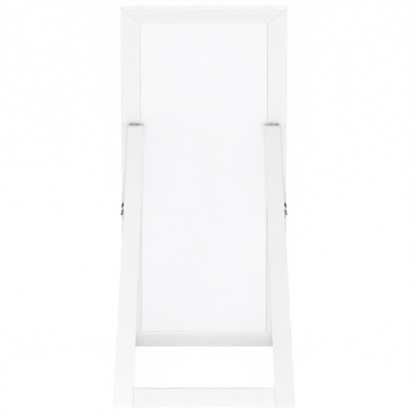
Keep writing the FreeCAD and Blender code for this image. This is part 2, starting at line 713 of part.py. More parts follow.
def make_stay(name, side):
    """Makes the links and rivets of one folding stay, straight as it stands open."""
    stem = name + "_stay_"
    fixed = "rivet_diameter / 2"
    running = "rivet_diameter / 2 + rivet_play"
    inner = layer_start(side, "link_in", "link_out")
    outer = layer_start(side, "arm_in", "arm_out")
    make_link(stem + "frame_link", "frame_link", inner, running, fixed, "0")
    make_link(stem + "leg_link", "leg_link", outer, running, fixed, "frame_link")
    make_rivet(stem + "frame_rivet", side, "link_in", "rivet_head_height", "0")
    make_rivet(stem + "elbow_rivet", side, "link_in", "rivet_head_height", "frame_link")
    make_rivet(stem + "leg_rivet", side, "plate_out + link_gap", "leg_rivet_head_height", "stay_span")


# The stand

def trim_to_floor(body):
    """Cuts the stand's lower end flat on the floor."""
    ahead = "leg_thickness"
    behind = "-leg_back - leg_thickness"
    floor = "((%s) * sin(leg_angle) - axis_z) / cos(leg_angle)"
    waste = new_sketch(body, "YZ_Plane")
    draw_outline(waste, [(behind, floor % behind), (ahead, floor % ahead), (ahead, floor % behind)])
    cut_through(body, waste)


def make_leg(node, side, tools):
    """Makes one tapered, splayed leg."""
    body = new_body(node + "_blank")
    outline = new_sketch(body, "XZ_Plane", "axis_offset")
    draw_outline(outline, [
        (signed(side, "leg_top_inner"), "-leg_top_gap"),
        (signed(side, "leg_top_outer"), "-leg_top_gap"),
        (signed(side, "leg_foot_outer"), "-leg_long"),
        (signed(side, "leg_foot_inner"), "-leg_long"),
    ])
    pad(body, outline, "leg_thickness")
    trim_to_floor(body)
    ease_long_edges(body, "leg_run / 2")
    place(body, on_stand("0", "0", "0"), about_x("-leg_angle"))
    node_from(node, body, *tools)


def make_foot_rail(tools):
    """Makes the rail that joins the legs at the floor."""
    body = new_body("foot_rail_blank")
    top = "(leg_long - foot_rail_height)"
    top_half = "leg_top_inner + inner_slope * (%s - leg_top_gap)" % top
    outline = new_sketch(body, "XZ_Plane", "axis_offset")
    draw_outline(outline, [
        ("-(%s)" % top_half, "-" + top), (top_half, "-" + top),
        ("leg_foot_inner", "-leg_long"), ("-leg_foot_inner", "-leg_long"),
    ])
    pad(body, outline, "leg_thickness")
    trim_to_floor(body)
    ease_long_edges(body, "leg_top_inner")
    place(body, on_stand("0", "0", "0"), about_x("-leg_angle"))
    node_from("foot_rail", body, *tools)


def make_model():
    """Makes every sub-part."""
    fill_sheets()
    points = make_panel_points()
    biscuits = make_biscuits()
    dowels = node_group(
        "foot_rail_dowels",
        [add_dowel(side, rise) for name, side in SIDES for rise in ("dowel_low", "dowel_high")])
    hinge_frame_screws = make_leaf_screws("hinge_frame_screws", True)
    hinge_leg_screws = make_leaf_screws("hinge_leg_screws", False)
    bracket_screws = make_bracket_screws()
    plate_screws = make_plate_screws()
    make_rail("bottom_rail", "0", 1, [biscuits, points])
    make_rail("top_rail", "frame_height", -1, [biscuits, points])
    make_sheet("mirror_glass", "glass_thickness", "glass_back")
    make_sheet("foam_sheet", "foam_thickness", "foam_back")
    make_sheet("back_panel", "panel_thickness", "panel_back")
    make_foot_rail([dowels])
    for name, side in SIDES:
        make_stile(name + "_stile", side, [biscuits, points, hinge_frame_screws, bracket_screws])
        make_leg(name + "_leg", side, [dowels, hinge_leg_screws, plate_screws])
        make_leaf(name + "_hinge_frame_leaf", side, True, hinge_frame_screws)
        make_leaf(name + "_hinge_leg_leaf", side, False, hinge_leg_screws)
        make_hinge_pin(name + "_hinge_pin", side)
        make_bracket(name + "_stay_frame_bracket", side, bracket_screws)
        make_leg_plate(name + "_stay_leg_plate", side, plate_screws)
        make_stay(name, side)
    doc.recompute()


def check_model():
    """Stops before anything is written if an object failed or a sub-part isn't sound."""
    for item in doc.Objects:
        if "Invalid" in item.State or "Error" in item.State:
            raise RuntimeError("%s failed: %s" % (item.Label, item.State))
    for node, item in nodes.items():
        if item.Shape.isNull() or not item.Shape.isValid() or not item.Shape.Solids:
            raise RuntimeError(node + " has no sound shape")


def write_nodes():
    """Writes one file for each sub-part."""
    os.makedirs("parts", exist_ok=True)
    for node, item in sorted(nodes.items()):
        item.Shape.exportStep("parts/%s.step" % node)


def print_axes():
    """Prints the joints' places and turns, which the record of the part states."""
    print("stay turns as it folds: frame link %.4f, leg link %.4f" % (
        number("90 + lean - stay_turn"),
        number("180 - atan2(pivot_side; frame_link - pivot_step) / 1 deg")))
    print("hinge axis %.4f %.4f, fold %.4f" % (number("axis_y"), number("axis_z"), number("fold_angle")))
    print("stay pivot on the frame %.4f %.4f, elbow %.4f %.4f, layers %.3f %.3f" % (
        number("pivot_f_world_y"), number("pivot_f_world_z"),
        number("pivot_f_world_y + frame_link * cos(stay_turn)"),
        number("pivot_f_world_z + frame_link * sin(stay_turn)"),
        number("link_in"), number("arm_out")))
    print("depth of the part %.4f, middle of the foot %.4f" % (
        number("foot_behind + face_ahead"),
        number("frame_y - foot_behind + leg_thickness / cos(leg_angle) / 2")))


make_model()
check_model()
write_nodes()
print("wrote %d sub-parts" % len(nodes))
print_axes()
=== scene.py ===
import json
import logging
import math
from collections.abc import Callable, Sequence
from dataclasses import dataclass
from enum import Enum

import bmesh
import bpy
from mathutils import Matrix, Vector


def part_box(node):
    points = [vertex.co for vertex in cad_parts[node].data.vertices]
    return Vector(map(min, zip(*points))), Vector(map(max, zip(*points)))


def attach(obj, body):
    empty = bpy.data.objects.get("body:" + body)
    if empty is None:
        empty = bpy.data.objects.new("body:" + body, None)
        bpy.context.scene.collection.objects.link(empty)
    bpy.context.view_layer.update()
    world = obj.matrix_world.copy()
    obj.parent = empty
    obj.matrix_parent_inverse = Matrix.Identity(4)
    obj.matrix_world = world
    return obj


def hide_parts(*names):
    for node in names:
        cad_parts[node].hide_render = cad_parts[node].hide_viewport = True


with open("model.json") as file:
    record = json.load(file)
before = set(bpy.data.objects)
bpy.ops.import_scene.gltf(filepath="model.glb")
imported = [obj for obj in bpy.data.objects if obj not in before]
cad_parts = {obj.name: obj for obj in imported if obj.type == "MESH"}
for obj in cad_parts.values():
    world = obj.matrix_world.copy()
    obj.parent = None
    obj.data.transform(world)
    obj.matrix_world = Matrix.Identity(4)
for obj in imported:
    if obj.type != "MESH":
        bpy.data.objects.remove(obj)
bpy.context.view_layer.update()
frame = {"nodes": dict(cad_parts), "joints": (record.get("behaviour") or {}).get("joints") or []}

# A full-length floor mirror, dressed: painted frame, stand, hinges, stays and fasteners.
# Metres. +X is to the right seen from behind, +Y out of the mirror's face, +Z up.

LOG = logging.getLogger("mirror")
Pair = tuple[float, float]
Triple = tuple[float, float, float]
Colour = tuple[float, float, float]
# Edges that turn by more are eased, and round faces that turn by less are shaded as one.
EASED_ABOVE = math.radians(32)
SMOOTH_BELOW = math.radians(33)
# Corners closer than this are one corner, and a radius under this lies on the axis.
MERGE = 1e-6
ON_AXIS = 1e-7
# Turns a flat piece's own axes so that the piece is square to X.
SQUARE_TO_X = Matrix(((0, 0, 1, 0), (1, 0, 0, 0), (0, 1, 0, 0), (0, 0, 0, 1)))


class Side(Enum):
    """The two sides of the mirror, seen from behind."""

    LEFT = -1
    RIGHT = 1

    @property
    def word(self) -> str:
        """The side's name as the solids have it."""
        return self.name.lower()


class Slot(Enum):
    """The record's material slots."""

    PAINT = "white_paint"
    PANEL = "panel_white"
    MIRROR = "silvered_glass"
    FOAM = "grey_foam"
    BEECH = "beech"
    DARK_STEEL = "dark_steel"
    GREY_STEEL = "grey_steel"
    ZINC = "zinc_steel"
    WHITE_STEEL = "white_steel"


# Node helpers


class NodeSheet:
    """Wires up the nodes of one material."""

    def __init__(self, name: str) -> None:
        """Starts a material with only its output and a Principled shader.

        Args:
            name: the material's name.
        """
        self.material = bpy.data.materials.new(name)
        self.material.use_nodes = True
        self.tree = self.material.node_tree
        self.tree.nodes.clear()
        self.output = self.add("ShaderNodeOutputMaterial")
        self.shader = self.add("ShaderNodeBsdfPrincipled")
        self.link(self.shader.outputs["BSDF"], self.output.inputs["Surface"])

    def add(self, kind: str, **inputs: object) -> bpy.types.Node:
        """Adds a node and sets its unlinked sockets.

        Args:
            kind: Blender's name of the node type.
            inputs: socket values, with underscores for spaces in the socket's name.
        Returns:
            The new node.
        """
        node = self.tree.nodes.new(kind)
        for word, value in inputs.items():
            node.inputs[word.replace("_", " ")].default_value = value
        return node

    def link(self, source: bpy.types.NodeSocket, target: bpy.types.NodeSocket) -> None:
        """Joins two sockets."""
        self.tree.links.new(source, target)

    def place(self, stretch: Triple = (1.0, 1.0, 1.0), run: bool = False) -> bpy.types.NodeSocket:
        """Gives stretched coordinates, from the object or along the piece's own run.

        Args:
            stretch: how much the pattern is squeezed along each axis.
            run: whether the piece's own map is used, along it and round it, in metres.
        Returns:
            The coordinates' socket.
        """
        if run:
            source = self.add("ShaderNodeUVMap")
            source.uv_map = "run"
            origin = source.outputs["UV"]
        else:
            origin = self.add("ShaderNodeTexCoord").outputs["Object"]
        mapping = self.add("ShaderNodeMapping", Scale=stretch)
        self.link(origin, mapping.inputs["Vector"])
        return mapping.outputs["Vector"]

    def noise(self, where: bpy.types.NodeSocket, scale: float, detail: float = 3.0) -> bpy.types.NodeSocket:
        """Gives a cloudy value between 0 and 1.

        Args:
            where: the coordinates.
            scale: how fine the pattern is.
            detail: how many finer layers it has.
        Returns:
            The value's socket.
        """
        node = self.add("ShaderNodeTexNoise", Scale=scale, Detail=detail)
        self.link(where, node.inputs["Vector"])
        return node.outputs["Fac"]

    def ramp(self, value: bpy.types.NodeSocket, low: Pair, high: Pair) -> bpy.types.NodeSocket:
        """Maps a value from one span to another and holds it there.

        Args:
            value: the value's socket.
            low: the value that starts the span, and what it becomes.
            high: the value that ends the span, and what it becomes.
        Returns:
            The mapped value's socket.
        """
        node = self.add("ShaderNodeMapRange")
        for word, number in zip(("From Min", "To Min", "From Max", "To Max"), (*low, *high)):
            node.inputs[word].default_value = number
        self.link(value, node.inputs["Value"])
        return node.outputs["Result"]

    def times(self, first: bpy.types.NodeSocket, second: bpy.types.NodeSocket) -> bpy.types.NodeSocket:
        """Multiplies two values."""
        node = self.tree.nodes.new("ShaderNodeMath")
        node.operation = "MULTIPLY"
        self.link(first, node.inputs[0])
        self.link(second, node.inputs[1])
        return node.outputs["Value"]

    def mix(self, share: bpy.types.NodeSocket, low: object, high: object) -> bpy.types.NodeSocket:
        """Mixes two colours.

        Args:
            share: how much of the second colour shows.
            low: the first colour, or its socket.
            high: the second colour, or its socket.
        Returns:
            The mixed colour's socket.
        """
        node = self.tree.nodes.new("ShaderNodeMix")
        node.data_type = "RGBA"
        self.link(share, node.inputs["Factor"])
        # The colour sockets come after those for numbers and vectors.
        for socket, colour in ((node.inputs[6], low), (node.inputs[7], high)):
            if isinstance(colour, bpy.types.NodeSocket):
                self.link(colour, socket)
            else:
                socket.default_value = (*colour, 1.0)
        return node.outputs[2]

    def painted_shading(self, colour: bpy.types.NodeSocket, most: float) -> bpy.types.NodeSocket:
        """Makes a colour darker by the painted shade that the mesh carries: greyer paint that stands in for
        shading.

        Args:
            colour: the colour's socket.
            most: how much darker it is where the painted shade is 1.
        Returns:
            The shaded colour's socket.
        """
        node = self.tree.nodes.new("ShaderNodeVectorMath")
        node.operation = "SCALE"
        self.link(colour, node.inputs[0])
        self.link(self.ramp(self.attribute("tone"), (0, 1), (1, 1 - most)), node.inputs["Scale"])
        return node.outputs["Vector"]

    def attribute(self, name: str) -> bpy.types.NodeSocket:
        """Gives a value that the mesh carries."""
        node = self.tree.nodes.new("ShaderNodeAttribute")
        node.attribute_name = name
        return node.outputs["Fac"]

    def bump(self, height: bpy.types.NodeSocket, depth: float, strength: float) -> None:
        """Makes a value raise the surface.

        Args:
            height: the value's socket.
            depth: how deep the relief is, in metres.
            strength: how much of it shows.
        """
        node = self.add("ShaderNodeBump", Distance=depth, Strength=strength)
        self.link(height, node.inputs["Height"])
        self.link(node.outputs["Normal"], self.shader.inputs["Normal"])

    def finish(self, colour: bpy.types.NodeSocket, rough: bpy.types.NodeSocket) -> None:
        """Gives the shader its colour and its roughness."""
        self.link(colour, self.shader.inputs["Base Color"])
        self.link(rough, self.shader.inputs["Roughness"])


def shade(colour: Colour, factor: float) -> Colour:
    """Makes a colour darker or lighter by a factor."""
    return tuple(min(1.0, part * factor) for part in colour)


# Finishes


@dataclass(frozen=True)
class PaintedWood:
    """Satin white paint over wood, whose grain still shows faintly along the piece, greyed as painted shade
    where the mesh asks.
    """

    colour: Colour = (0.902, 0.901, 0.901)
    grain: float = 0.035
    # Painted shade: how much darker the paint is where the mesh's painted shade is 1, standing in for
    # shading.
    painted_shading: float = 0.16
    rubbed: float = 0.05
    gloss: Pair = (0.36, 0.5)
    specular: float = 0.4
    streaks: Triple = (5.0, 620.0, 1.0)
    patch_scale: float = 7.0
    patch_share: float = 0.35
    scuff_scale: float = 160.0
    relief: Pair = (0.0002, 0.35)

    def material(self) -> bpy.types.Material:
        """Returns the paint's material."""
        sheet = NodeSheet("white_paint")
        streaks = sheet.noise(sheet.place(self.streaks, run=True), 1.0, 5.0)
        fine = sheet.ramp(streaks, (0.3, 0.0), (0.72, 1.0))
        patches = sheet.ramp(sheet.noise(sheet.place(), self.patch_scale), (0.3, 0.0), (0.7, 1.0))
        base = sheet.mix(fine, shade(self.colour, 1 - self.grain), self.colour)
        patched = sheet.ramp(patches, (0, 0), (1, self.patch_share))
        base = sheet.mix(patched, base, shade(self.colour, 1 - self.grain / 2))
        # Painted shade: greyer paint where the mesh asks for it, standing in for shading.
        base = sheet.painted_shading(base, self.painted_shading)
        scuffs = sheet.ramp(sheet.noise(sheet.place(), self.scuff_scale, 4.0), (0.48, 0.0), (0.66, 1.0))
        worn = sheet.times(sheet.attribute("edge"), scuffs)
        base = sheet.mix(worn, base, shade(self.colour, 1 - self.rubbed))
        sheet.finish(base, sheet.ramp(patches, (0, self.gloss[0]), (1, self.gloss[1])))
        sheet.shader.inputs["Specular IOR Level"].default_value = self.specular
        sheet.bump(streaks, *self.relief)
        return sheet.material


@dataclass(frozen=True)
class FacedBoard:
    """Thin board with a smooth, cool-white face, a little darker as painted shade where the mesh asks."""

    colour: Colour = (0.937, 0.936, 0.953)
    mottle: float = 0.012
    # Painted shade: how much darker the board is where the mesh's painted shade is 1.
    painted_shading: float = 0.02
    gloss: Pair = (0.46, 0.58)
    clouds: Triple = (1.5, 1.5, 0.5)
    cloud_scale: float = 5.0
    pore_scale: float = 900.0
    relief: Pair = (0.00008, 0.3)

    def material(self) -> bpy.types.Material:
        """Returns the board's material."""
        sheet = NodeSheet("panel_white")
        cloud = sheet.noise(sheet.place(self.clouds), self.cloud_scale, 2.0)
        pores = sheet.noise(sheet.place(), self.pore_scale, 2.0)
        light = sheet.ramp(cloud, (0.35, 0), (0.65, 1))
        base = sheet.mix(light, shade(self.colour, 1 - self.mottle), self.colour)
        pitted = sheet.ramp(pores, (0.6, 0), (0.75, 0.5))
        base = sheet.mix(pitted, base, shade(self.colour, 1 - 2 * self.mottle))
        # Painted shade: greyer board where the mesh asks for it, standing in for shading.
        base = sheet.painted_shading(base, self.painted_shading)
        sheet.finish(base, sheet.ramp(pores, (0.3, self.gloss[0]), (0.7, self.gloss[1])))
        sheet.bump(pores, *self.relief)
        return sheet.material


@dataclass(frozen=True)
class SilveredGlass:
    """Mirror glass, with the faint smears that a wiped mirror keeps."""

    colour: Colour = (0.93, 0.945, 0.94)
    smeared: float = 0.985
    gloss: Pair = (0.012, 0.04)
    smears: Triple = (6.0, 6.0, 2.0)
    smear_scale: float = 3.0

    def material(self) -> bpy.types.Material:
        """Returns the mirror's material."""
        sheet = NodeSheet("silvered_glass")
        smears = sheet.noise(sheet.place(self.smears), self.smear_scale, 4.0)
        share = sheet.ramp(smears, (0.4, 0), (0.7, 1))
        base = sheet.mix(share, self.colour, shade(self.colour, self.smeared))
        sheet.finish(base, sheet.ramp(smears, (0.4, self.gloss[0]), (0.75, self.gloss[1])))
        sheet.shader.inputs["Metallic"].default_value = 1.0
        return sheet.material


@dataclass(frozen=True)
class Steel:
    """Sheet steel, dark or zinc plated, a little rubbed."""

    name: str
    colour: Colour
    rubbed: Colour
    gloss: Pair
    metallic: float
    spangle: float
    bright: float = 1.35
    scratch_scale: float = 900.0
    relief: Pair = (0.00004, 0.4)

    def material(self) -> bpy.types.Material:
        """Returns the steel's material."""
        sheet = NodeSheet(self.name)
        cells = sheet.add("ShaderNodeTexVoronoi", Scale=self.spangle)
        sheet.link(sheet.place(), cells.inputs["Vector"])
        grains = sheet.ramp(cells.outputs["Distance"], (0.0, 0.0), (0.9, 1.0))
        scratches = sheet.noise(sheet.place(), self.scratch_scale, 6.0)
        marks = sheet.ramp(scratches, (0.5, 0.0), (0.85, 1.0))
        base = sheet.mix(sheet.ramp(grains, (0, 0), (1, 0.6)), self.colour, shade(self.colour, self.bright))
        base = sheet.mix(sheet.ramp(marks, (0, 0), (1, 0.4)), base, self.rubbed)
        worn = sheet.times(sheet.attribute("edge"), sheet.ramp(scratches, (0.4, 0.2), (0.6, 1.0)))
        base = sheet.mix(worn, base, self.rubbed)
        sheet.finish(base, sheet.ramp(scratches, (0.3, self.gloss[0]), (0.7, self.gloss[1])))
        sheet.shader.inputs["Metallic"].default_value = self.metallic
        sheet.bump(scratches, *self.relief)
        return sheet.material


@dataclass(frozen=True)
class BareWood:
    """Bare beech with short dark flecks."""

    colour: Colour = (0.62, 0.43, 0.26)
    fleck: float = 0.72
    gloss: Pair = (0.55, 0.7)
    flecks: Triple = (60.0, 500.0, 500.0)
    relief: Pair = (0.0001, 0.3)

    def material(self) -> bpy.types.Material:
        """Returns the wood's material."""
        sheet = NodeSheet("beech")
        flecks = sheet.noise(sheet.place(self.flecks), 1.0, 3.0)
        share = sheet.ramp(flecks, (0.45, 0), (0.7, 1))
        base = sheet.mix(share, self.colour, shade(self.colour, self.fleck))
        sheet.finish(base, sheet.ramp(flecks, (0.3, self.gloss[0]), (0.7, self.gloss[1])))
        sheet.bump(flecks, *self.relief)
        return sheet.material


@dataclass(frozen=True)
class SoftFoam:
    """Thin grey foam sheet with a fine cell pattern."""

    colour: Colour = (0.5, 0.5, 0.515)
    bright: float = 1.25
    gloss: Pair = (0.8, 0.95)
    cell_scale: float = 900.0
    relief: Pair = (0.0002, 0.5)

    def material(self) -> bpy.types.Material:
        """Returns the foam's material."""
        sheet = NodeSheet("grey_foam")
        node = sheet.add("ShaderNodeTexVoronoi", Scale=self.cell_scale)
        sheet.link(sheet.place(), node.inputs["Vector"])
        cells = node.outputs["Distance"]
        base = sheet.mix(cells, self.colour, shade(self.colour, self.bright))
        sheet.finish(base, sheet.ramp(cells, (0, self.gloss[0]), (1, self.gloss[1])))
        sheet.bump(cells, *self.relief)
        return sheet.material


class Palette:
    """Makes each finish once and hands it out by its slot."""

    def __init__(self) -> None:
        """Makes every finish."""
        dark = Steel("dark_steel", (0.07, 0.07, 0.073), (0.24, 0.24, 0.245), (0.34, 0.5), 0.6, 700.0)
        grey = Steel("grey_steel", (0.34, 0.34, 0.345), (0.52, 0.52, 0.525), (0.48, 0.62), 0.9, 600.0)
        zinc = Steel("zinc_steel", (0.50, 0.50, 0.51), (0.72, 0.72, 0.73), (0.26, 0.44), 1.0, 450.0)
        lacquered = Steel("white_steel", (0.86, 0.86, 0.86), (0.80, 0.80, 0.80), (0.3, 0.45), 0.0, 300.0)
        self.finishes: dict[Slot, bpy.types.Material] = {
            Slot.PAINT: PaintedWood().material(),
            Slot.PANEL: FacedBoard().material(),
            Slot.MIRROR: SilveredGlass().material(),
            Slot.FOAM: SoftFoam().material(),
            Slot.BEECH: BareWood().material(),
            Slot.DARK_STEEL: dark.material(),
            Slot.GREY_STEEL: grey.material(),
            Slot.ZINC: zinc.material(),
            Slot.WHITE_STEEL: lacquered.material(),
        }

    def __getitem__(self, slot: Slot) -> bpy.types.Material:
        """Returns the slot's material."""
        return self.finishes[slot]

    def dress_node(self, node: str, slot: Slot) -> None:
        """Gives a solid that stays its finish."""
        mesh = frame["nodes"][node].data
        mesh.materials.clear()
        mesh.materials.append(self[slot])
        LOG.info("%s keeps its solid, in %s", node, slot.value)


# Shapes


@dataclass(frozen=True)
class RunPoint:
    """One corner of a long piece's section: where it starts and ends, and how far it is an edge."""

    start: Vector
    end: Vector
    edge: float


def rounded(corners: Sequence[Triple], steps: int = 5) -> list[Triple]:
    """Rounds the corners of a section.

    Args:
        corners: each corner's two coordinates and its radius.
        steps: flats in each rounding.
    Returns:
        The section's points: two coordinates, and 1 on a rounding or 0 at a sharp corner.
    """
    points: list[Triple] = []
    count = len(corners)
    for index, (first, second, radius) in enumerate(corners):
        here = Vector((first, second))
        if radius == 0:
            points.append((first, second, 0.0))
            continue
        before = (Vector(corners[index - 1][:2]) - here).normalized()
        after = (Vector(corners[(index + 1) % count][:2]) - here).normalized()
        half = before.angle(after) / 2
        middle = here + (before + after).normalized() * (radius / math.sin(half))
        reach = radius / math.tan(half)
        first_arm = here + before * reach - middle
        last_arm = here + after * reach - middle
        sweep = first_arm.angle_signed(last_arm)
        for step in range(steps + 1):
            arm = first_arm.copy()
            arm.rotate(Matrix.Rotation(-sweep * step / steps, 2))
            point = middle + arm
            points.append((point.x, point.y, 0.0 if step in (0, steps) else 1.0))
    return points


def circle(middle: Pair, radius: float, sides: int = 28) -> list[Pair]:
    """Gives the corners of a circle."""
    turns = [2 * math.pi * index / sides for index in range(sides)]
    return [(middle[0] + radius * math.cos(turn), middle[1] + radius * math.sin(turn)) for turn in turns]


def capsule(length: float, radius: float, steps: int = 14) -> list[Pair]:
    """Gives the outline of a flat bar with round ends, from the origin along the first axis."""
    points: list[Pair] = []
    for middle, start in ((length, -math.pi / 2), (0.0, math.pi / 2)):
        for step in range(steps + 1):
            turn = start + math.pi * step / steps
            points.append((middle + radius * math.cos(turn), radius * math.sin(turn)))
    return points


class Shape:
    """A mesh in the making, from which one piece is finished."""

    # The map's step from corner to corner on the end of a run.
    end_step: Pair = (0.001, 0.003)

    def __init__(self) -> None:
        """Starts an empty mesh that carries a map along each piece and values for its edges and its painted
        shade.
        """
        self.bm = bmesh.new()
        self.run = self.bm.loops.layers.uv.new("run")
        self.edge = self.bm.verts.layers.float.new("edge")
        # Painted shade: a value on each corner that greys the paint to stand in for shading.
        self.tone = self.bm.verts.layers.float.new("tone")

    def add_run(self, points: Sequence[RunPoint], painted_shades: Pair = (0.0, 0.0)) -> None:
        """Adds a closed long piece whose section runs from its start to its end.

        Args:
            points: the section's corners in order.
            painted_shades: how far its paint is greyed as painted shade, at its start and its end.
        """
        rows = []
        for point in points:
            pair = (self.bm.verts.new(point.start), self.bm.verts.new(point.end))
            # Painted shade: each corner carries how far its paint is greyed to stand in for shading.
            for vert, tone in zip(pair, painted_shades):
                vert[self.edge] = point.edge
                vert[self.tone] = tone
            rows.append(pair)
        girth = 0.0
        for index, (near, far) in enumerate(rows):
            next_near, next_far = rows[(index + 1) % len(rows)]
            face = self.bm.faces.new((near, far, next_far, next_near))
            width = (next_near.co - near.co).length
            length = (far.co - near.co).length
            corners = ((0, girth), (length, girth), (length, girth + width), (0, girth + width))
            for loop, corner in zip(face.loops, corners):
                loop[self.run].uv = corner
            girth += width
        for place, cap in enumerate(([near for near, far in rows], [far for near, far in rows])):
            face = self.bm.faces.new(cap)
            for index, loop in enumerate(face.loops):
                loop[self.run].uv = (place + self.end_step[0] * index, self.end_step[1] * index)

    def add_wall(self, upper: Sequence[bmesh.types.BMVert], lower: Sequence[bmesh.types.BMVert]) -> None:
        """Joins two rings of as many corners by a wall of faces."""
        count = len(upper)
        for index in range(count):
            after = (index + 1) % count
            self.bm.faces.new((upper[index], upper[after], lower[after], lower[index]))

    def add_mesh(self, mesh: bpy.types.Mesh, place: Matrix) -> None:
        """Adds a finished mesh at a place, and removes the mesh."""
        mesh.transform(place)
        self.bm.from_mesh(mesh)
        bpy.data.meshes.remove(mesh)

    def add_turned(self, profile: Sequence[Pair], place: Matrix, sides: int = 28) -> None:
        """Adds a turned shape.

        Args:
            profile: distances along the Z axis and radii, closed over the axis or round a bore.
            place: where it goes.
            sides: flats round it.
        """
        part = bmesh.new()
        rings: list[list[bmesh.types.BMVert]] = []
        for along, radius in profile:
            if radius < ON_AXIS:
                rings.append([part.verts.new((0, 0, along))] * sides)
                continue
            rings.append([part.verts.new((x, y, along)) for x, y in circle((0, 0), radius, sides)])
        closed = profile[0][1] > ON_AXIS
        for index in range(len(rings) if closed else len(rings) - 1):
            ring, following = rings[index], rings[(index + 1) % len(rings)]
            for spot in range(sides):
                after = (spot + 1) % sides
                corners = (ring[spot], ring[after], following[after], following[spot])
                part.faces.new(list(dict.fromkeys(corners)))
        bmesh.ops.recalc_face_normals(part, faces=part.faces)
        mesh = bpy.data.meshes.new("turned")
        part.to_mesh(mesh)
        part.free()
        self.add_mesh(mesh, place)

    def add_plate(self, outlines: Sequence[Sequence[Pair]], thickness: float, soft: float,
                  place: Matrix) -> None:
        """Adds a flat plate with holes and softened edges, centred on its own XY plane.

        Args:
            outlines: the outer outline, then those of its holes.
            thickness: the plate's thickness.
            soft: radius of its softened edges.
            place: where it goes.
        """
        curve = bpy.data.curves.new("plate", "CURVE")
        curve.dimensions = "2D"
        curve.fill_mode = "BOTH"
        curve.extrude = thickness / 2 - soft
        curve.bevel_depth = soft
        curve.bevel_resolution = 1
        curve.offset = -soft
        for outline in outlines:
            spline = curve.splines.new("POLY")
            spline.points.add(len(outline) - 1)
            for point, (first, second) in zip(spline.points, outline):
                point.co = (first, second, 0, 1)
            spline.use_cyclic_u = True
        draft = bpy.data.objects.new("plate", curve)
        bpy.context.scene.collection.objects.link(draft)
        graph = bpy.context.evaluated_depsgraph_get()
        mesh = bpy.data.meshes.new_from_object(draft.evaluated_get(graph))
        bpy.data.objects.remove(draft)
        bpy.data.curves.remove(curve)
        merged = bmesh.new()
        merged.from_mesh(mesh)
        bmesh.ops.remove_doubles(merged, verts=merged.verts, dist=MERGE)
        bmesh.ops.recalc_face_normals(merged, faces=merged.faces)
        merged.to_mesh(mesh)
        merged.free()
        self.add_mesh(mesh, place)

    def draft(self, name: str, soft: float = 0.0) -> bpy.types.Object:
        """Makes an object of the mesh as it stands.

        Args:
            name: the object's name.
            soft: radius that softens its sharp edges, or 0.
        Returns:
            The new object, at the origin.
        """
        bmesh.ops.recalc_face_normals(self.bm, faces=self.bm.faces)
        mesh = bpy.data.meshes.new(name)
        self.bm.to_mesh(mesh)
        self.bm.free()
        piece = bpy.data.objects.new(name, mesh)
        bpy.context.scene.collection.objects.link(piece)
        if soft:
            bevel = piece.modifiers.new("soft_edges", "BEVEL")
            bevel.width = soft
            bevel.segments = 2
            bevel.limit_method = "ANGLE"
            bevel.angle_limit = EASED_ABOVE
            made_plain(piece)
        return piece


def made_plain(piece: bpy.types.Object) -> None:
    """Turns what a piece's modifiers make into its own plain mesh."""
    graph = bpy.context.evaluated_depsgraph_get()
    made = bpy.data.meshes.new_from_object(piece.evaluated_get(graph))
    old = piece.data
    piece.modifiers.clear()
    piece.data = made
    bpy.data.meshes.remove(old)
    made.name = piece.name


def seat(piece: bpy.types.Object, body: str, slot: Slot, palette: Palette, nodes: Sequence[str],
         smooth: bool = False) -> None:
    """Finishes a piece: its material, its body and the solids that it stands for.

    Args:
        piece: the piece, in place.
        body: the body that carries it.
        slot: the material slot.
        palette: the finishes.
        nodes: the solids that it replaces.
        smooth: whether round faces are shaded smooth.
    """
    piece.data.materials.clear()
    piece.data.materials.append(palette[slot])
    if smooth:
        piece.data.shade_smooth()
        piece.data.set_sharp_from_angle(angle=SMOOTH_BELOW)
    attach(piece, body)
    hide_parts(*nodes)
    LOG.info("%s rides on %s, %d faces", piece.name, body, len(piece.data.polygons))


# Places


@dataclass(frozen=True)
class Datum:
    """Where the leaning frame, the open stand and the stays' pivots are."""

    lean: float = math.radians(8)
    leg_angle: float = math.radians(12.34)
    hinge_rise: float = 1.076
    barrel_radius: float = 0.0025
    barrel_clear: float = 0.0002

    @property
    def axis_offset(self) -> float:
        """Wood to the hinge axis."""
        return self.barrel_radius + self.barrel_clear

    def pivot(self, joint: str) -> Vector:
        """Returns a joint's place at rest."""
        return Vector(next(item["pos_m"] for item in frame["joints"] if item["name"] == joint))

    @property
    def axis(self) -> Vector:
        """Middle of the hinge axis."""
        return self.pivot("stand_fold")

    @property
    def on_frame(self) -> Matrix:
        """Turns across, depth and rise from the frame's lower back edge into the shared frame."""
        hinge = Matrix.Translation(self.axis) @ Matrix.Rotation(self.lean, 4, "X")
        return hinge @ Matrix.Translation((0, self.axis_offset, -self.hinge_rise))

    @property
    def on_stand(self) -> Matrix:
        """Turns across, depth and height from the hinge axis into the shared frame."""
        return Matrix.Translation(self.axis) @ Matrix.Rotation(-self.leg_angle, 4, "X")


# The mirror frame


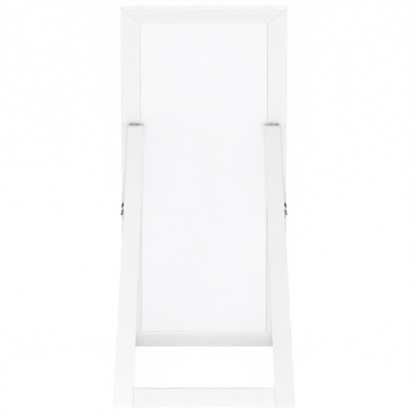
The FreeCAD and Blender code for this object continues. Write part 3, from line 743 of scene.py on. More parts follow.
@dataclass
class MirrorFrame:
    """The mitred moulding and the sheets in its rebate."""

    datum: Datum
    palette: Palette
    width: float = 0.600
    height: float = 1.615
    depth: float = 0.018
    face: float = 0.070
    lip: float = 0.010
    rebate: float = 0.011
    ease: float = 0.002
    bevel: float = 0.003
    seam: float = 0.0003
    soft: float = 0.0009
    board_thickness: float = 0.003
    board_level: float = 0.003
    board_gaps: Pair = (0.0005, 0.0008)
    board_ease: float = 0.0006
    # Painted shade on the panel, at its bottom and its top, and on the top rail: greyer paint that stands
    # in for shading.
    board_painted_shades: Pair = (1.0, 0.0)
    top_painted_shade: float = 0.1

    def section(self) -> list[Triple]:
        """Returns the moulding's section: in from the outer edge, depth from the back, and edge."""
        front = self.face + self.lip
        return rounded([
            (0.0, 0.0, self.ease),
            (self.face, 0.0, self.ease / 2),
            (self.face, self.rebate, 0.0),
            (front, self.rebate, 0.0),
            (front, self.depth - self.bevel, self.ease / 2),
            (front - self.bevel, self.depth, self.ease / 2),
            (0.0, self.depth, self.ease),
        ])

    def rail(self, across: float, depth: float, upper: bool) -> tuple[Vector, Vector]:
        """Returns one line of a rail, from mitre to mitre."""
        reach = self.width / 2 - across - self.seam
        rise = self.height - across if upper else across
        return Vector((-reach, depth, rise)), Vector((reach, depth, rise))

    def stile(self, across: float, depth: float, side: Side) -> tuple[Vector, Vector]:
        """Returns one line of a stile, from mitre to mitre."""
        place = side.value * (self.width / 2 - across)
        low = across + self.seam
        return Vector((place, depth, low)), Vector((place, depth, self.height - low))

    def make(self, node: str, line: Callable[[float, float], tuple[Vector, Vector]],
             tone: float = 0.0) -> None:
        """Makes one length of moulding.

        Args:
            node: the solid that it replaces.
            line: gives the start and end of one of its section's lines.
            tone: how far its paint is greyed as painted shade.
        """
        place = self.datum.on_frame
        points = []
        for across, depth, edge in self.section():
            start, end = line(across, depth)
            points.append(RunPoint(place @ start, place @ end, edge))
        shape = Shape()
        shape.add_run(points, (tone, tone))
        seat(shape.draft(node + "_moulding", self.soft), "frame", Slot.PAINT, self.palette, [node])

    def board(self) -> None:
        """Makes the back panel, with eased edges and a little loose in the rebate, with painted shade that
        darkens it towards the bottom.
        """
        place = self.datum.on_frame
        half = self.width / 2 - self.face
        left = -half + self.board_gaps[0]
        right = half - self.board_gaps[1]
        low = self.face + self.board_gaps[0]
        near = self.board_level
        far = near + self.board_thickness
        ease = self.board_ease
        points = []
        corners = [(left, near, ease), (right, near, ease), (right, far, 0.0), (left, far, 0.0)]
        for across, depth, edge in rounded(corners):
            start = Vector((across, depth, low))
            end = Vector((across, depth, self.height - low))
            points.append(RunPoint(place @ start, place @ end, edge))
        shape = Shape()
        shape.add_run(points, self.board_painted_shades)
        seat(shape.draft("back_panel_board", ease), "frame", Slot.PANEL, self.palette, ["back_panel"])

    def build(self) -> None:
        """Makes the four lengths and the panel, and dresses the other sheets and the corners' biscuits."""
        # The top rail is a little darker as painted shade.
        self.make("top_rail", lambda across, depth: self.rail(across, depth, True), self.top_painted_shade)
        self.make("bottom_rail", lambda across, depth: self.rail(across, depth, False))
        for side in Side:
            self.make(side.word + "_stile", lambda across, depth: self.stile(across, depth, side))
        self.board()
        self.palette.dress_node("mirror_glass", Slot.MIRROR)
        self.palette.dress_node("foam_sheet", Slot.FOAM)
        self.palette.dress_node("corner_biscuits", Slot.BEECH)


# The stand


@dataclass
class Stand:
    """Two splayed legs and the foot rail between them."""

    datum: Datum
    palette: Palette
    thickness: float = 0.020
    top_inner: float = 0.2167
    top_outer: float = 0.2759
    foot_inner: float = 0.2601
    foot_outer: float = 0.3319
    top_gap: float = 0.005
    rail_height: float = 0.072
    ease: float = 0.002
    soft: float = 0.0004
    joint: float = 0.0001
    # Painted shade on the foot rail: greyer paint that stands in for shading.
    rail_painted_shade: float = 0.6

    @property
    def painted_shades(self) -> dict[Side, Pair]:
        """Painted shade on each leg: how far its paint is greyed to stand in for shading, at its top and
        its foot, darker at the top.
        """
        return {Side.LEFT: (0.79, 0.39), Side.RIGHT: (0.95, 0.70)}

    def foot_drop(self, depth: float) -> float:
        """Returns how far down the stand the floor is, at a depth."""
        angle = self.datum.leg_angle
        return (self.datum.axis.z - depth * math.sin(angle)) / math.cos(angle)

    @property
    def long(self) -> float:
        """Hinge axis to the rear foot edge."""
        return self.foot_drop(-self.datum.axis_offset - self.thickness)

    def spread(self, top: float, foot: float, drop: float) -> float:
        """Returns how far out a leg's edge is at a drop."""
        return top + (foot - top) * (drop - self.top_gap) / (self.long - self.top_gap)

    def leg(self, side: Side) -> None:
        """Makes one tapered leg, cut flat to the floor."""
        front = -self.datum.axis_offset
        back = front - self.thickness
        top_width = self.top_outer - self.top_inner
        corners = [(0.0, front), (top_width, front), (top_width, back), (0.0, back)]
        place = self.datum.on_stand
        points = []
        for across, depth, edge in rounded([(*corner, self.ease) for corner in corners]):
            share = across / top_width
            foot = self.foot_drop(depth)
            inner = self.spread(self.top_inner, self.foot_inner, foot)
            outer = self.spread(self.top_outer, self.foot_outer, foot)
            top = self.top_inner + across
            low = inner + share * (outer - inner)
            start = Vector((side.value * top, depth, -self.top_gap))
            end = Vector((side.value * low, depth, -foot))
            points.append(RunPoint(place @ start, place @ end, edge))
        shape = Shape()
        # Painted shade: the leg is greyer at its top than at its foot, standing in for shading.
        shape.add_run(points, self.painted_shades[side])
        node = side.word + "_leg"
        seat(shape.draft(node + "_wood", self.soft), "stand", Slot.PAINT, self.palette, [node])

    def foot_rail(self) -> None:
        """Makes the rail between the legs, cut flat to the floor."""
        front = -self.datum.axis_offset
        back = front - self.thickness
        high = self.long - self.rail_height
        corners = [
            (front, high, self.ease),
            (back, high, self.ease),
            (back, self.foot_drop(back), self.ease / 2),
            (front, self.foot_drop(front), self.ease / 2),
        ]
        place = self.datum.on_stand
        points = []
        for depth, drop, edge in rounded(corners):
            reach = self.spread(self.top_inner, self.foot_inner, drop) - self.joint
            start = Vector((-reach, depth, -drop))
            end = Vector((reach, depth, -drop))
            points.append(RunPoint(place @ start, place @ end, edge))
        shape = Shape()
        # Painted shade over the whole rail.
        shape.add_run(points, (self.rail_painted_shade, self.rail_painted_shade))
        seat(shape.draft("foot_rail_wood", self.soft), "stand", Slot.PAINT, self.palette, ["foot_rail"])

    def build(self) -> None:
        """Makes the legs and the rail and dresses the dowels."""
        for side in Side:
            self.leg(side)
        self.foot_rail()
        self.palette.dress_node("foot_rail_dowels", Slot.BEECH)


# The hinges


@dataclass
class ButtHinge:
    """One small butt hinge: two leaves with rolled knuckles, on a pin."""

    datum: Datum
    palette: Palette
    side: Side
    spread: float = 0.2536
    length: float = 0.0315
    leaf: float = 0.0012
    drop: float = 0.020
    relief: float = 0.0006
    gap: float = 0.0002
    pin_radius: float = 0.0012
    pin_play: float = 0.00005
    pin_head: float = 0.002
    pin_rise: float = 0.001
    pin_dome: tuple[float, ...] = (0.3, 0.6, 0.9, 1.2, 1.4)
    pin_sides: int = 24
    knuckle_sides: int = 32
    screw_spread: float = 0.009
    screw_drop: float = 0.0125
    screw_hole: float = 0.0033
    soft: float = 0.0002

    def turn(self, on_frame: bool) -> Matrix:
        """Returns the place of one leaf's own axes, on the hinge axis."""
        middle = self.datum.axis + Vector((self.side.value * self.spread, 0, 0))
        angle = self.datum.lean if on_frame else -self.datum.leg_angle
        return Matrix.Translation(middle) @ Matrix.Rotation(angle, 4, "X")

    def knuckle(self, shape: Shape, start: float, end: float, place: Matrix) -> None:
        """Adds one rolled knuckle.

        Args:
            shape: the leaf in the making.
            start: where it starts along the pin.
            end: where it ends along the pin.
            place: the leaf's own axes.
        """
        outer = self.datum.barrel_radius
        bore = self.pin_radius + self.pin_play
        soft = self.soft
        profile = [
            (start, bore), (start, outer - soft), (start + soft, outer),
            (end - soft, outer), (end, outer - soft), (end, bore),
        ]
        shape.add_turned(profile, place @ Matrix.Rotation(math.pi / 2, 4, "Y"), self.knuckle_sides)

    def leaf_piece(self, on_frame: bool) -> None:
        """Makes one leaf with its knuckles."""
        half = self.length / 2
        half_knuckle = self.length / 6
        under = -(self.datum.barrel_radius + self.relief)
        if on_frame:
            notch = half_knuckle + self.gap / 2
            outline = [
                (-half, 0), (-notch, 0), (-notch, under), (notch, under),
                (notch, 0), (half, 0), (half, -self.drop), (-half, -self.drop),
            ]
            spans = [(-half, -notch), (notch, half)]
        else:
            tab = half_knuckle - self.gap / 2
            outline = [
                (-tab, 0), (tab, 0), (tab, under), (half, under),
                (half, -self.drop), (-half, -self.drop), (-half, under), (-tab, under),
            ]
            spans = [(-tab, tab)]
        holes = [circle((way * self.screw_spread, -self.screw_drop), self.screw_hole) for way in (-1, 1)]
        way = 1 if on_frame else -1
        level = self.datum.axis_offset - self.leaf / 2
        flat = Matrix.Translation((0, way * level, 0)) @ Matrix.Rotation(math.pi / 2, 4, "X")
        place = self.turn(on_frame)
        shape = Shape()
        shape.add_plate([outline, *holes], self.leaf, self.soft, place @ flat)
        for start, end in spans:
            self.knuckle(shape, start, end, place)
        node = "%s_hinge_%s_leaf" % (self.side.word, "frame" if on_frame else "leg")
        piece = shape.draft(node + "_steel")
        seat(piece, "frame" if on_frame else "stand", Slot.GREY_STEEL, self.palette, [node], smooth=True)

    def pin(self) -> None:
        """Makes the pin with a domed head at each end."""
        reach = self.length / 2 + self.gap
        head = self.pin_head
        rise = self.pin_rise
        half = [(reach, self.pin_radius), (reach, head)]
        half += [(reach + rise * math.sin(turn), head * math.cos(turn)) for turn in self.pin_dome]
        half += [(reach + rise, 0.0)]
        profile = [(-along, radius) for along, radius in reversed(half)] + half
        shape = Shape()
        shape.add_turned(profile, self.turn(True) @ Matrix.Rotation(math.pi / 2, 4, "Y"), self.pin_sides)
        node = self.side.word + "_hinge_pin"
        seat(shape.draft(node + "_steel"), "frame", Slot.GREY_STEEL, self.palette, [node], smooth=True)

    def screws(self, on_frame: bool) -> list["FastenerSpot"]:
        """Returns the places of one leaf's screws."""
        place = self.turn(on_frame)
        level = self.datum.axis_offset - self.leaf
        way = -1 if on_frame else 1
        spots = []
        for across in (-self.screw_spread, self.screw_spread):
            point = place @ Vector((across, -way * level, -self.screw_drop))
            out = place.to_3x3() @ Vector((0, way, 0))
            spots.append(FastenerSpot(point, out, Vector((1, 0, 0))))
        return spots

    def build(self) -> None:
        """Makes the leaves and the pin."""
        self.leaf_piece(True)
        self.leaf_piece(False)
        self.pin()


# The folding stays


@dataclass
class FoldingStay:
    """One folding stay: a bracket on the frame, two flat links and a plate on the leg."""

    datum: Datum
    palette: Palette
    side: Side
    leg_drop: float = 0.3425
    leg_inset: float = 0.0136
    width: float = 0.011
    thickness: float = 0.0016
    layer_gap: float = 0.0003
    rivet: float = 0.002
    rivet_play: float = 0.00005
    standoff: float = 0.01
    base: float = 0.0015
    base_height: float = 0.014
    base_reach: float = 0.032
    base_corner: float = 0.003
    ear_steps: int = 14
    screw_inset: float = 0.007
    screw_spread: float = 0.011
    plate_screw_spread: float = 0.010
    screw_hole: float = 0.0033
    soft: float = 0.00022

    @property
    def frame_pivot(self) -> Vector:
        """Place of the pivot on the frame."""
        return self.datum.pivot(self.side.word + "_stay_swing")

    @property
    def elbow(self) -> Vector:
        """Place of the pivot between the links."""
        return self.datum.pivot(self.side.word + "_stay_elbow")

    @property
    def leg_pivot(self) -> Vector:
        """Place of the pivot on the leg."""
        depth = -self.datum.axis_offset - self.leg_inset
        return self.datum.on_stand @ Vector((self.elbow.x, depth, -self.leg_drop))

    @property
    def link_middle(self) -> float:
        """Middle of the frame link's layer, away from the middle plane."""
        return abs(self.frame_pivot.x)

    @property
    def arm_middle(self) -> float:
        """Middle of the leg link's and the ear's layer, away from the middle plane."""
        return self.link_middle + self.thickness + self.layer_gap

    def layer(self, point: Vector, turn: float, middle: float) -> Matrix:
        """Returns the place of a flat piece that is square to X, with its first axis turned about X."""
        at = Matrix.Translation((self.side.value * middle, point.y, point.z))
        return at @ Matrix.Rotation(turn, 4, "X") @ SQUARE_TO_X

    def link(self, node: str, body: str, start: Vector, end: Vector, middle: float) -> None:
        """Makes one flat link with a hole at each end.

        Args:
            node: the solid that it replaces.
            body: the body that carries it.
            start: the pivot that it starts at.
            end: the pivot that it ends at.
            middle: the middle of its layer, away from the middle plane.
        """
        along = end - start
        length = math.hypot(along.y, along.z)
        turn = math.atan2(along.z, along.y)
        outlines = [capsule(length, self.width / 2)]
        outlines += [circle((place, 0.0), self.rivet + self.rivet_play) for place in (0.0, length)]
        shape = Shape()
        shape.add_plate(outlines, self.thickness, self.soft, self.layer(start, turn, middle))
        piece = shape.draft(node + "_steel")
        seat(piece, body, Slot.DARK_STEEL, self.palette, [node], smooth=True)

    def bracket(self) -> None:
        """Makes the bracket: a base on the frame's back and an ear that carries the link."""
        node = self.side.word + "_stay_frame_bracket"
        half = self.base_height / 2
        outer = self.arm_middle + self.thickness / 2
        inner = outer - self.base_reach
        sign = self.side.value
        place = self.datum.on_frame @ Matrix.Translation((0, 0, self.rise))
        flat = Matrix.Translation((0, -self.base / 2, 0)) @ Matrix.Rotation(math.pi / 2, 4, "X")
        corner = self.base_corner
        outline = [
            (outer, -half), (outer, half), (inner + corner, half), (inner, half - corner),
            (inner, corner - half), (inner + corner, -half),
        ]
        holes = [circle((inner + across, 0.0), self.screw_hole) for across in self.base_screws]
        rings = [[(sign * x, z) for x, z in ring] for ring in (outline, *holes)]
        shape = Shape()
        shape.add_plate(rings, self.base, self.soft, place @ flat)
        round_end = self.width / 2
        ear = [(-self.base / 2, -half), (-self.base, -half)]
        for step in range(self.ear_steps + 1):
            turn = -math.pi / 2 - math.pi * step / self.ear_steps
            ear.append((-self.standoff + round_end * math.cos(turn), round_end * math.sin(turn)))
        ear += [(-self.base, half), (-self.base / 2, half)]
        hole = circle((-self.standoff, 0.0), self.rivet)
        upright = Matrix.Translation((sign * self.arm_middle, 0, 0)) @ SQUARE_TO_X
        shape.add_plate([ear, hole], self.thickness, self.soft, place @ upright)
        seat(shape.draft(node + "_steel"), "frame", Slot.DARK_STEEL, self.palette, [node], smooth=True)

    @property
    def base_screws(self) -> Pair:
        """The bracket's screws, from the inner end of its base."""
        return self.screw_inset, self.screw_inset + self.screw_spread

    @property
    def rise(self) -> float:
        """Height of the frame pivot along the frame."""
        return (self.datum.on_frame.inverted() @ self.frame_pivot).z

    def build(self) -> None:
        """Makes the bracket and the links and dresses the plate on the leg."""
        stay = self.side.word + "_stay"
        elbow = self.elbow
        self.bracket()
        self.link(stay + "_frame_link", stay + "_front", self.frame_pivot, elbow, self.link_middle)
        self.link(stay + "_leg_link", stay + "_rear", elbow, self.leg_pivot, self.arm_middle)
        self.palette.dress_node(stay + "_leg_plate", Slot.DARK_STEEL)

    def frame_screws(self) -> list["FastenerSpot"]:
        """Returns the places of the bracket's screws."""
        inner = self.arm_middle + self.thickness / 2 - self.base_reach
        place = self.datum.on_frame
        out = place.to_3x3() @ Vector((0, -1, 0))
        spots = []
        for across in self.base_screws:
            point = Vector((self.side.value * (inner + across), -self.base, self.rise))
            spots.append(FastenerSpot(place @ point, out, Vector((1, 0, 0))))
        return spots

    def leg_screws(self) -> list["FastenerSpot"]:
        """Returns the places of the leg plate's screws."""
        low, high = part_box(self.side.word + "_stay_leg_plate")
        face = high[0] if self.side is Side.RIGHT else low[0]
        down = self.datum.on_stand.to_3x3() @ Vector((0, 0, -1))
        out = Vector((self.side.value, 0, 0))
        spots = []
        for way in (-1, 1):
            point = self.leg_pivot + down * (way * self.plate_screw_spread)
            spots.append(FastenerSpot(Vector((face, point.y, point.z)), out, Vector((0, 0, 1))))
        return spots

    def rivet_spot(self, point: Vector) -> "FastenerSpot":
        """Returns a rivet's place on the outer face of the outer layer."""
        face = self.side.value * (self.arm_middle + self.thickness / 2)
        out = Vector((self.side.value, 0, 0))
        return FastenerSpot(Vector((face, point.y, point.z)), out, Vector((0, 0, 1)))


# Fasteners


@dataclass(frozen=True)
class FastenerSpot:
    """Where a fastener sits: its head's place, the way that it faces and the way that it is turned."""

    point: Vector
    out: Vector
    heading: Vector


class FastenerTree:
    """Geometry nodes that set copies of one fastener on points."""

    def __init__(self) -> None:
        """Builds the tree with named inputs."""
        self.tree = bpy.data.node_groups.new("set_fasteners", "GeometryNodeTree")
        self.inputs: dict[str, str] = {}
        face = self.tree.interface
        face.new_socket("Geometry", in_out="INPUT", socket_type="NodeSocketGeometry")
        for name, kind in (("Fastener", "Object"), ("Size", "Float"), ("Twist", "Float"), ("Seed", "Int"),
                           ("Finish", "Material")):
            socket = face.new_socket(name, in_out="INPUT", socket_type="NodeSocket" + kind)
            self.inputs[name] = socket.identifier
        face.new_socket("Geometry", in_out="OUTPUT", socket_type="NodeSocketGeometry")
        self.wire()

    def add(self, kind: str) -> bpy.types.Node:
        """Adds a node."""
        return self.tree.nodes.new(kind)

    def aligned(self, attribute: str, axis: str) -> bpy.types.Node:
        """Adds a node that turns one axis towards a stored direction."""
        stored = self.add("GeometryNodeInputNamedAttribute")
        stored.data_type = "FLOAT_VECTOR"
        stored.inputs["Name"].default_value = attribute
        node = self.add("FunctionNodeAlignRotationToVector")
        node.axis = axis
        self.tree.links.new(stored.outputs["Attribute"], node.inputs["Vector"])
        return node

    def wire(self) -> None:
        """Joins the nodes: turn, twist, set, realize, finish."""
        join = self.tree.links.new
        given = self.add("NodeGroupInput")
        out = self.aligned("out", "Z")
        heading = self.aligned("heading", "X")
        heading.pivot_axis = "Z"
        join(out.outputs["Rotation"], heading.inputs["Rotation"])
        chance = self.add("FunctionNodeRandomValue")
        chance.data_type = "FLOAT"
        # Input 3 and output 1 are the greatest number and the number drawn.
        join(given.outputs["Twist"], chance.inputs[3])
        join(given.outputs["Seed"], chance.inputs["Seed"])
        twist = self.add("FunctionNodeAxisAngleToRotation")
        join(chance.outputs[1], twist.inputs["Angle"])
        turned = self.add("FunctionNodeRotateRotation")
        turned.rotation_space = "LOCAL"
        join(heading.outputs["Rotation"], turned.inputs["Rotation"])
        join(twist.outputs["Rotation"], turned.inputs["Rotate By"])
        source = self.add("GeometryNodeObjectInfo")
        join(given.outputs["Fastener"], source.inputs["Object"])
        spread = self.add("GeometryNodeInstanceOnPoints")
        join(given.outputs["Geometry"], spread.inputs["Points"])
        join(source.outputs["Geometry"], spread.inputs["Instance"])
        join(turned.outputs["Rotation"], spread.inputs["Rotation"])
        join(given.outputs["Size"], spread.inputs["Scale"])
        real = self.add("GeometryNodeRealizeInstances")
        join(spread.outputs["Instances"], real.inputs["Geometry"])
        finish = self.add("GeometryNodeSetMaterial")
        join(real.outputs["Geometry"], finish.inputs["Geometry"])
        join(given.outputs["Finish"], finish.inputs["Material"])
        result = self.add("NodeGroupOutput")
        join(finish.outputs["Geometry"], result.inputs["Geometry"])

    def set_out(self, name: str, spots: Sequence[FastenerSpot], fastener: bpy.types.Object,
                finish: bpy.types.Material, twist: float = 0.0, seed: int = 1) -> bpy.types.Object:
        """Sets copies of a fastener and makes them one plain mesh.

        Args:
            name: the new piece's name.
            spots: where they go.
            fastener: the fastener, whose head's seat is at the origin and faces along +Z.
            finish: their material.
            twist: the most that each is turned about its own axis.
            seed: fixes the turns.
        Returns:
            The new piece.
        """
        mesh = bpy.data.meshes.new(name)
        mesh.from_pydata([spot.point for spot in spots], [], [])
        for word in ("out", "heading"):
            stored = mesh.attributes.new(word, "FLOAT_VECTOR", "POINT")
            for index, spot in enumerate(spots):
                stored.data[index].vector = getattr(spot, word)
        piece = bpy.data.objects.new(name, mesh)
        modifier = piece.modifiers.new("set_fasteners", "NODES")
        modifier.node_group = self.tree
        values = {"Fastener": fastener, "Size": 1.0, "Twist": twist, "Seed": seed, "Finish": finish}
        for word, value in values.items():
            modifier[self.inputs[word]] = value
        bpy.context.scene.collection.objects.link(piece)
        made_plain(piece)
        return piece


@dataclass
class Fasteners:
    """The screws, rivets and panel points, each made once and set where it goes."""

    palette: Palette
    tree: FastenerTree
    ease: float = 0.0001
    screw_head: float = 0.0032
    rim_height: float = 0.00012
    head_height: float = 0.0013
    recess_mouth: Pair = (0.0019, 0.00042)
    recess_floor: Pair = (0.00125, 0.0003)
    recess_depth: float = 0.0009
    screw_shank: float = 0.00175
    screw_core: float = 0.00126
    screw_length: float = 0.014
    tip: float = 0.003
    tip_share: float = 0.05
    pitch: float = 0.0016
    ridge: float = 0.28
    thread_steps: int = 12
    screw_sides: int = 24
    frame_seed: int = 3
    stand_seed: int = 7
    rivet_head: float = 0.0035
    rivet_radius: float = 0.002
    rivet_height: float = 0.002
    rivet_depth: float = 0.0035
    tall_height: float = 0.0035
    tall_depth: float = 0.0042
    wall_share: float = 0.35
    dome_steps: int = 8
    dimple: tuple[Pair, ...] = ((0.96, 0.0009), (0.86, 0.0005), (0.84, 0.0))
    rivet_sides: int = 32
    point_breadth: float = 0.006
    point_reach: float = 0.008
    point_bite: float = 0.006
    point_thickness: float = 0.0006
    point_hole: float = 0.0008
    point_steps: int = 12
    hole_sides: int = 16
    points_across: int = 3
    points_up: int = 6
    smooth_below: float = math.radians(30)

    def cross(self, arm: float, half: float) -> list[Pair]:
        """Gives the outline of a cross recess."""
        points = []
        for turn in range(4):
            for x, y in ((arm, -half), (arm, half), (half, half)):
                for _ in range(turn):
                    x, y = -y, x
                points.append((x, y))
        return points

    def thread(self, height: float, share: float) -> float:
        """Returns the threaded shank's radius at a height and a share of a turn."""
        wave = (-height / self.pitch - share) % 1.0
        crest = max(0.0, 1 - abs(wave - 0.5) / self.ridge)
        taper = min(1.0, max(self.tip_share, (self.screw_length + height) / self.tip))
        return (self.screw_core + (self.screw_shank - self.screw_core) * crest) * taper

    def screw(self) -> bpy.types.Object:
        """Makes a countersunk wood screw with a cross recess and a thread, facing +Z."""
        shape = Shape()
        bm = shape.bm
        sides = self.screw_sides
        rim = [bm.verts.new((x, y, 0)) for x, y in circle((0, 0), self.screw_head - self.ease, sides)]
        mouth = [bm.verts.new((x, y, 0)) for x, y in self.cross(*self.recess_mouth)]
        floor = [bm.verts.new((x, y, -self.recess_depth)) for x, y in self.cross(*self.recess_floor)]
        edges = []
        for ring in (rim, mouth):
            edges += [bm.edges.new(pair) for pair in zip(ring, [*ring[1:], ring[0]])]
        bmesh.ops.triangle_fill(bm, use_beauty=True, use_dissolve=False, edges=edges)
        shape.add_wall(mouth, floor)
        bm.faces.new(floor)
        levels = [(-self.rim_height, [self.screw_head] * sides)]
        levels.append((-self.head_height, [self.screw_shank] * sides))
        rows = int((self.screw_length - self.head_height) / self.pitch * self.thread_steps)
        for row in range(1, rows + 1):
            height = -self.head_height - self.pitch * row / self.thread_steps
            levels.append((height, [self.thread(height, index / sides) for index in range(sides)]))
        previous = rim
        for height, radii in levels:
            ring = []
            for index, radius in enumerate(radii):
                turn = 2 * math.pi * index / sides
                ring.append(bm.verts.new((radius * math.cos(turn), radius * math.sin(turn), height)))
            shape.add_wall(previous, ring)
            previous = ring
        bm.faces.new(previous)
        return self.master(shape, "screw_master")

    def rivet(self, name: str, height: float, depth: float) -> bpy.types.Object:
        """Makes a domed rivet with a dimple, facing +Z, its head's seat at the origin.

        Args:
            name: the rivet's name.
            height: the head's height.
            depth: how far its shank reaches inwards.
        Returns:
            The rivet.
        """
        head = self.rivet_head
        wall = self.wall_share
        profile = [(-depth, 0.0), (-depth, self.rivet_radius), (0.0, self.rivet_radius)]
        profile += [(0.0, head - self.ease), (self.ease, head), (height * wall, head)]
        for step in range(1, self.dome_steps - 1):
            turn = math.pi / 2 * step / self.dome_steps
            profile.append((height * (wall + (1 - wall) * math.sin(turn)), head * math.cos(turn)))
        profile += [(height * share, radius) for share, radius in self.dimple]
        shape = Shape()
        shape.add_turned(profile, Matrix.Identity(4), self.rivet_sides)
        return self.master(shape, name)

    def point(self) -> bpy.types.Object:
        """Makes a panel point: a flat tab that lies on the panel, with its tip in the wood."""
        half = self.point_breadth / 2
        middle = self.point_reach - half
        shoulder = -self.point_bite / 3
        outline = [(-self.point_bite, 0.0), (shoulder, -half), (middle, -half)]
        for step in range(1, self.point_steps):
            turn = math.pi * step / self.point_steps
            outline.append((middle + half * math.sin(turn), -half * math.cos(turn)))
        outline += [(middle, half), (shoulder, half)]
        hole = circle((middle, 0.0), self.point_hole, self.hole_sides)
        flat = Matrix.Translation((0, 0, self.point_thickness / 2))
        shape = Shape()
        shape.add_plate([outline, hole], self.point_thickness, self.ease, flat)
        return self.master(shape, "point_master")

    def master(self, shape: Shape, name: str) -> bpy.types.Object:
        """Turns a shape into a fastener that is copied and not shown itself."""
        piece = shape.draft(name)
        piece.data.shade_smooth()
        piece.data.set_sharp_from_angle(angle=self.smooth_below)
        return piece

    def point_spots(self, mirror: MirrorFrame) -> list[FastenerSpot]:
        """Returns the places of the panel points round the rebate."""
        place = mirror.datum.on_frame
        out = place.to_3x3() @ Vector((0, -1, 0))
        half = mirror.width / 2 - mirror.face
        rise = mirror.height - 2 * mirror.face
        level = mirror.board_level
        spots = []
        for index in range(1, self.points_across + 1):
            across = -half + 2 * half * index / (self.points_across + 1)
            for height, way in ((mirror.face, 1), (mirror.height - mirror.face, -1)):
                heading = place.to_3x3() @ Vector((0, 0, way))
                spots.append(FastenerSpot(place @ Vector((across, level, height)), out, heading))
        for index in range(1, self.points_up + 1):
            height = mirror.face + rise * index / (self.points_up + 1)
            for side in Side:
                heading = Vector((-side.value, 0, 0))
                spots.append(FastenerSpot(place @ Vector((side.value * half, level, height)), out, heading))
        return spots

    def fit(self, name: str, body: str, slot: Slot, nodes: Sequence[str], fastener: bpy.types.Object,
            spots: Sequence[FastenerSpot], twist: float = 0.0, seed: int = 1) -> None:
        """Sets one kind of fastener on one body.

        Args:
            name: the piece's name.
            body: the body that carries it.
            slot: its material slot.
            nodes: the solids that it replaces.
            fastener: the fastener that is copied.
            spots: where the copies go.
            twist: the most that each is turned about its own axis.
            seed: fixes the turns.
        """
        piece = self.tree.set_out(name, spots, fastener, self.palette[slot], twist, seed)
        seat(piece, body, slot, self.palette, nodes)

    def build(self, mirror: MirrorFrame, hinges: Sequence[ButtHinge], stays: Sequence[FoldingStay]) -> None:
        """Sets every fastener, one piece for each body and kind.

        Args:
            mirror: the mirror frame.
            hinges: both hinges.
            stays: both stays.
        """
        screw = self.screw()
        rivet = self.rivet("rivet_master", self.rivet_height, self.rivet_depth)
        tall_rivet = self.rivet("tall_rivet_master", self.tall_height, self.tall_depth)
        point = self.point()
        on_frame = [spot for hinge in hinges for spot in hinge.screws(True)]
        on_frame += [spot for stay in stays for spot in stay.frame_screws()]
        on_stand = [spot for hinge in hinges for spot in hinge.screws(False)]
        on_stand += [spot for stay in stays for spot in stay.leg_screws()]
        quarter = math.pi / 2
        nodes = ["hinge_frame_screws", "stay_frame_screws"]
        self.fit("frame_screws", "frame", Slot.ZINC, nodes, screw, on_frame, quarter, self.frame_seed)
        nodes = ["hinge_leg_screws", "stay_leg_screws"]
        self.fit("stand_screws", "stand", Slot.ZINC, nodes, screw, on_stand, quarter, self.stand_seed)
        spots = self.point_spots(mirror)
        self.fit("panel_point_tabs", "frame", Slot.WHITE_STEEL, ["panel_points"], point, spots)
        dark = Slot.DARK_STEEL
        nodes = [stay.side.word + "_stay_frame_rivet" for stay in stays]
        spots = [stay.rivet_spot(stay.frame_pivot) for stay in stays]
        self.fit("stay_frame_rivets", "frame", dark, nodes, rivet, spots)
        for stay in stays:
            word = stay.side.word
            nodes = [word + "_stay_elbow_rivet"]
            spots = [stay.rivet_spot(stay.elbow)]
            self.fit(word + "_elbow_rivet", word + "_stay_front", dark, nodes, rivet, spots)
            nodes = [word + "_stay_leg_rivet"]
            spots = [stay.rivet_spot(stay.leg_pivot)]
            self.fit(word + "_leg_rivet", word + "_stay_rear", dark, nodes, tall_rivet, spots)
        for master in (screw, rivet, tall_rivet, point):
            bpy.data.objects.remove(master)


# The studio


def seen_directly(tree: bpy.types.NodeTree) -> bpy.types.NodeSocket:
    """Gives 1 to the eye, in reflections and through glass, and 0 to other light.

    Args:
        tree: the material's or the world's nodes.
    Returns:
        The value's socket.
    """
    path = tree.nodes.new("ShaderNodeLightPath")
    seen = path.outputs["Is Camera Ray"]
    for word in ("Is Glossy Ray", "Is Transmission Ray"):
        either = tree.nodes.new("ShaderNodeMath")
        either.operation = "MAXIMUM"
        tree.links.new(seen, either.inputs[0])
        tree.links.new(path.outputs[word], either.inputs[1])
        seen = either.outputs["Value"]
    return seen


@dataclass(frozen=True)
class Lamp:
    """One far lamp: where it shines from, its strength square on, and its width in degrees."""

    name: str
    place: Triple
    strength: float
    spread: float

    def hang(self) -> None:
        """Hangs the lamp, which lights everything alike."""
        data = bpy.data.lights.new(self.name, "SUN")
        data.energy = self.strength
        data.angle = math.radians(self.spread)
        lamp = bpy.data.objects.new(self.name, data)
        lamp.location = self.place
        lamp.rotation_euler = (-Vector(self.place)).to_track_quat("-Z", "Y").to_euler()
        bpy.context.scene.collection.objects.link(lamp)


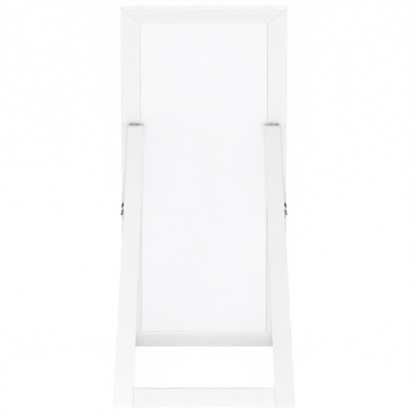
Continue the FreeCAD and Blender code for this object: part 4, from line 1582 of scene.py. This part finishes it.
@dataclass
class Studio:
    """A white floor, soft light and the photograph's camera."""

    view_height: float = 1.5137
    distance: float = 45.0
    far_clip: float = 400.0
    sensor: float = 36.0
    elevation: float = math.radians(32.5)
    target: Triple = (0.0144, 0.0, 0.7300)
    floor_reach: float = 30.0
    floor_white: float = 0.95
    floor_rough: float = 0.9
    floor_glow: float = 0.93
    surround: float = 0.31
    lamps: tuple[Lamp, ...] = (
        Lamp("key", (0.0, -4.0, 1.7), 0.73, 9.0),
        Lamp("low", (0.0, -4.0, 0.15), 0.45, 4.0),
        Lamp("top", (0.0, -0.55, 4.0), 1.35, 20.0),
        Lamp("face", (0.6, 4.0, 1.4), 1.0, 30.0),
        Lamp("left", (-4.0, 0.0, 0.4), 0.6, 30.0),
        Lamp("right", (4.0, 0.0, 0.4), 0.6, 30.0),
    )

    def camera(self) -> None:
        """Sets the camera a long way behind the mirror, looking down at it."""
        data = bpy.data.cameras.new("camera")
        data.sensor_width = self.sensor
        data.lens = self.sensor * self.distance / self.view_height
        data.clip_end = self.far_clip
        camera = bpy.data.objects.new("camera", data)
        away = Vector((0, -math.cos(self.elevation), math.sin(self.elevation)))
        camera.location = Vector(self.target) + away * self.distance
        camera.rotation_euler = (math.pi / 2 - self.elevation, 0, 0)
        bpy.context.scene.collection.objects.link(camera)
        bpy.context.scene.camera = camera

    def floor(self) -> None:
        """Lays the white floor."""
        reach = self.floor_reach
        mesh = bpy.data.meshes.new("floor")
        corners = [(-reach, -reach, 0), (reach, -reach, 0), (reach, reach, 0), (-reach, reach, 0)]
        mesh.from_pydata(corners, [], [(0, 1, 2, 3)])
        floor = bpy.data.objects.new("floor", mesh)
        sheet = NodeSheet("floor_white")
        white = self.floor_white
        sheet.shader.inputs["Base Color"].default_value = (white, white, white, 1)
        sheet.shader.inputs["Roughness"].default_value = self.floor_rough
        sheet.shader.inputs["Specular IOR Level"].default_value = 0.0
        glow = sheet.add("ShaderNodeEmission")
        seen = sheet.ramp(seen_directly(sheet.tree), (0.0, 0.0), (1.0, self.floor_glow))
        blend = sheet.add("ShaderNodeMixShader")
        sheet.link(seen, blend.inputs["Fac"])
        sheet.link(sheet.shader.outputs["BSDF"], blend.inputs[1])
        sheet.link(glow.outputs["Emission"], blend.inputs[2])
        sheet.link(blend.outputs["Shader"], sheet.output.inputs["Surface"])
        mesh.materials.append(sheet.material)
        bpy.context.scene.collection.objects.link(floor)

    def surroundings(self) -> None:
        """Makes the surroundings white to the eye and in reflections, and plain soft light otherwise."""
        world = bpy.data.worlds.new("surroundings")
        world.use_nodes = True
        tree = world.node_tree
        tree.nodes.clear()
        strength = tree.nodes.new("ShaderNodeMapRange")
        strength.inputs["To Min"].default_value = self.surround
        strength.inputs["To Max"].default_value = 1.0
        tree.links.new(seen_directly(tree), strength.inputs["Value"])
        background = tree.nodes.new("ShaderNodeBackground")
        tree.links.new(strength.outputs["Result"], background.inputs["Strength"])
        background.inputs["Color"].default_value = (1, 1, 1, 1)
        output = tree.nodes.new("ShaderNodeOutputWorld")
        tree.links.new(background.outputs["Background"], output.inputs["Surface"])
        bpy.context.scene.world = world

    def build(self) -> None:
        """Sets up the camera, the floor and the light."""
        bpy.context.scene.view_settings.view_transform = "Standard"
        self.camera()
        self.floor()
        self.surroundings()
        for lamp in self.lamps:
            lamp.hang()


def main() -> None:
    """Builds the mirror in order."""
    logging.basicConfig(level=logging.INFO, format="%(message)s")
    palette = Palette()
    datum = Datum()
    mirror = MirrorFrame(datum, palette)
    stand = Stand(datum, palette)
    hinges = [ButtHinge(datum, palette, side) for side in Side]
    stays = [FoldingStay(datum, palette, side) for side in Side]
    for part in (mirror, stand, *hinges, *stays):
        part.build()
    Fasteners(palette, FastenerTree()).build(mirror, hinges, stays)
    Studio().build()


if __name__ == "__main__":
    main()
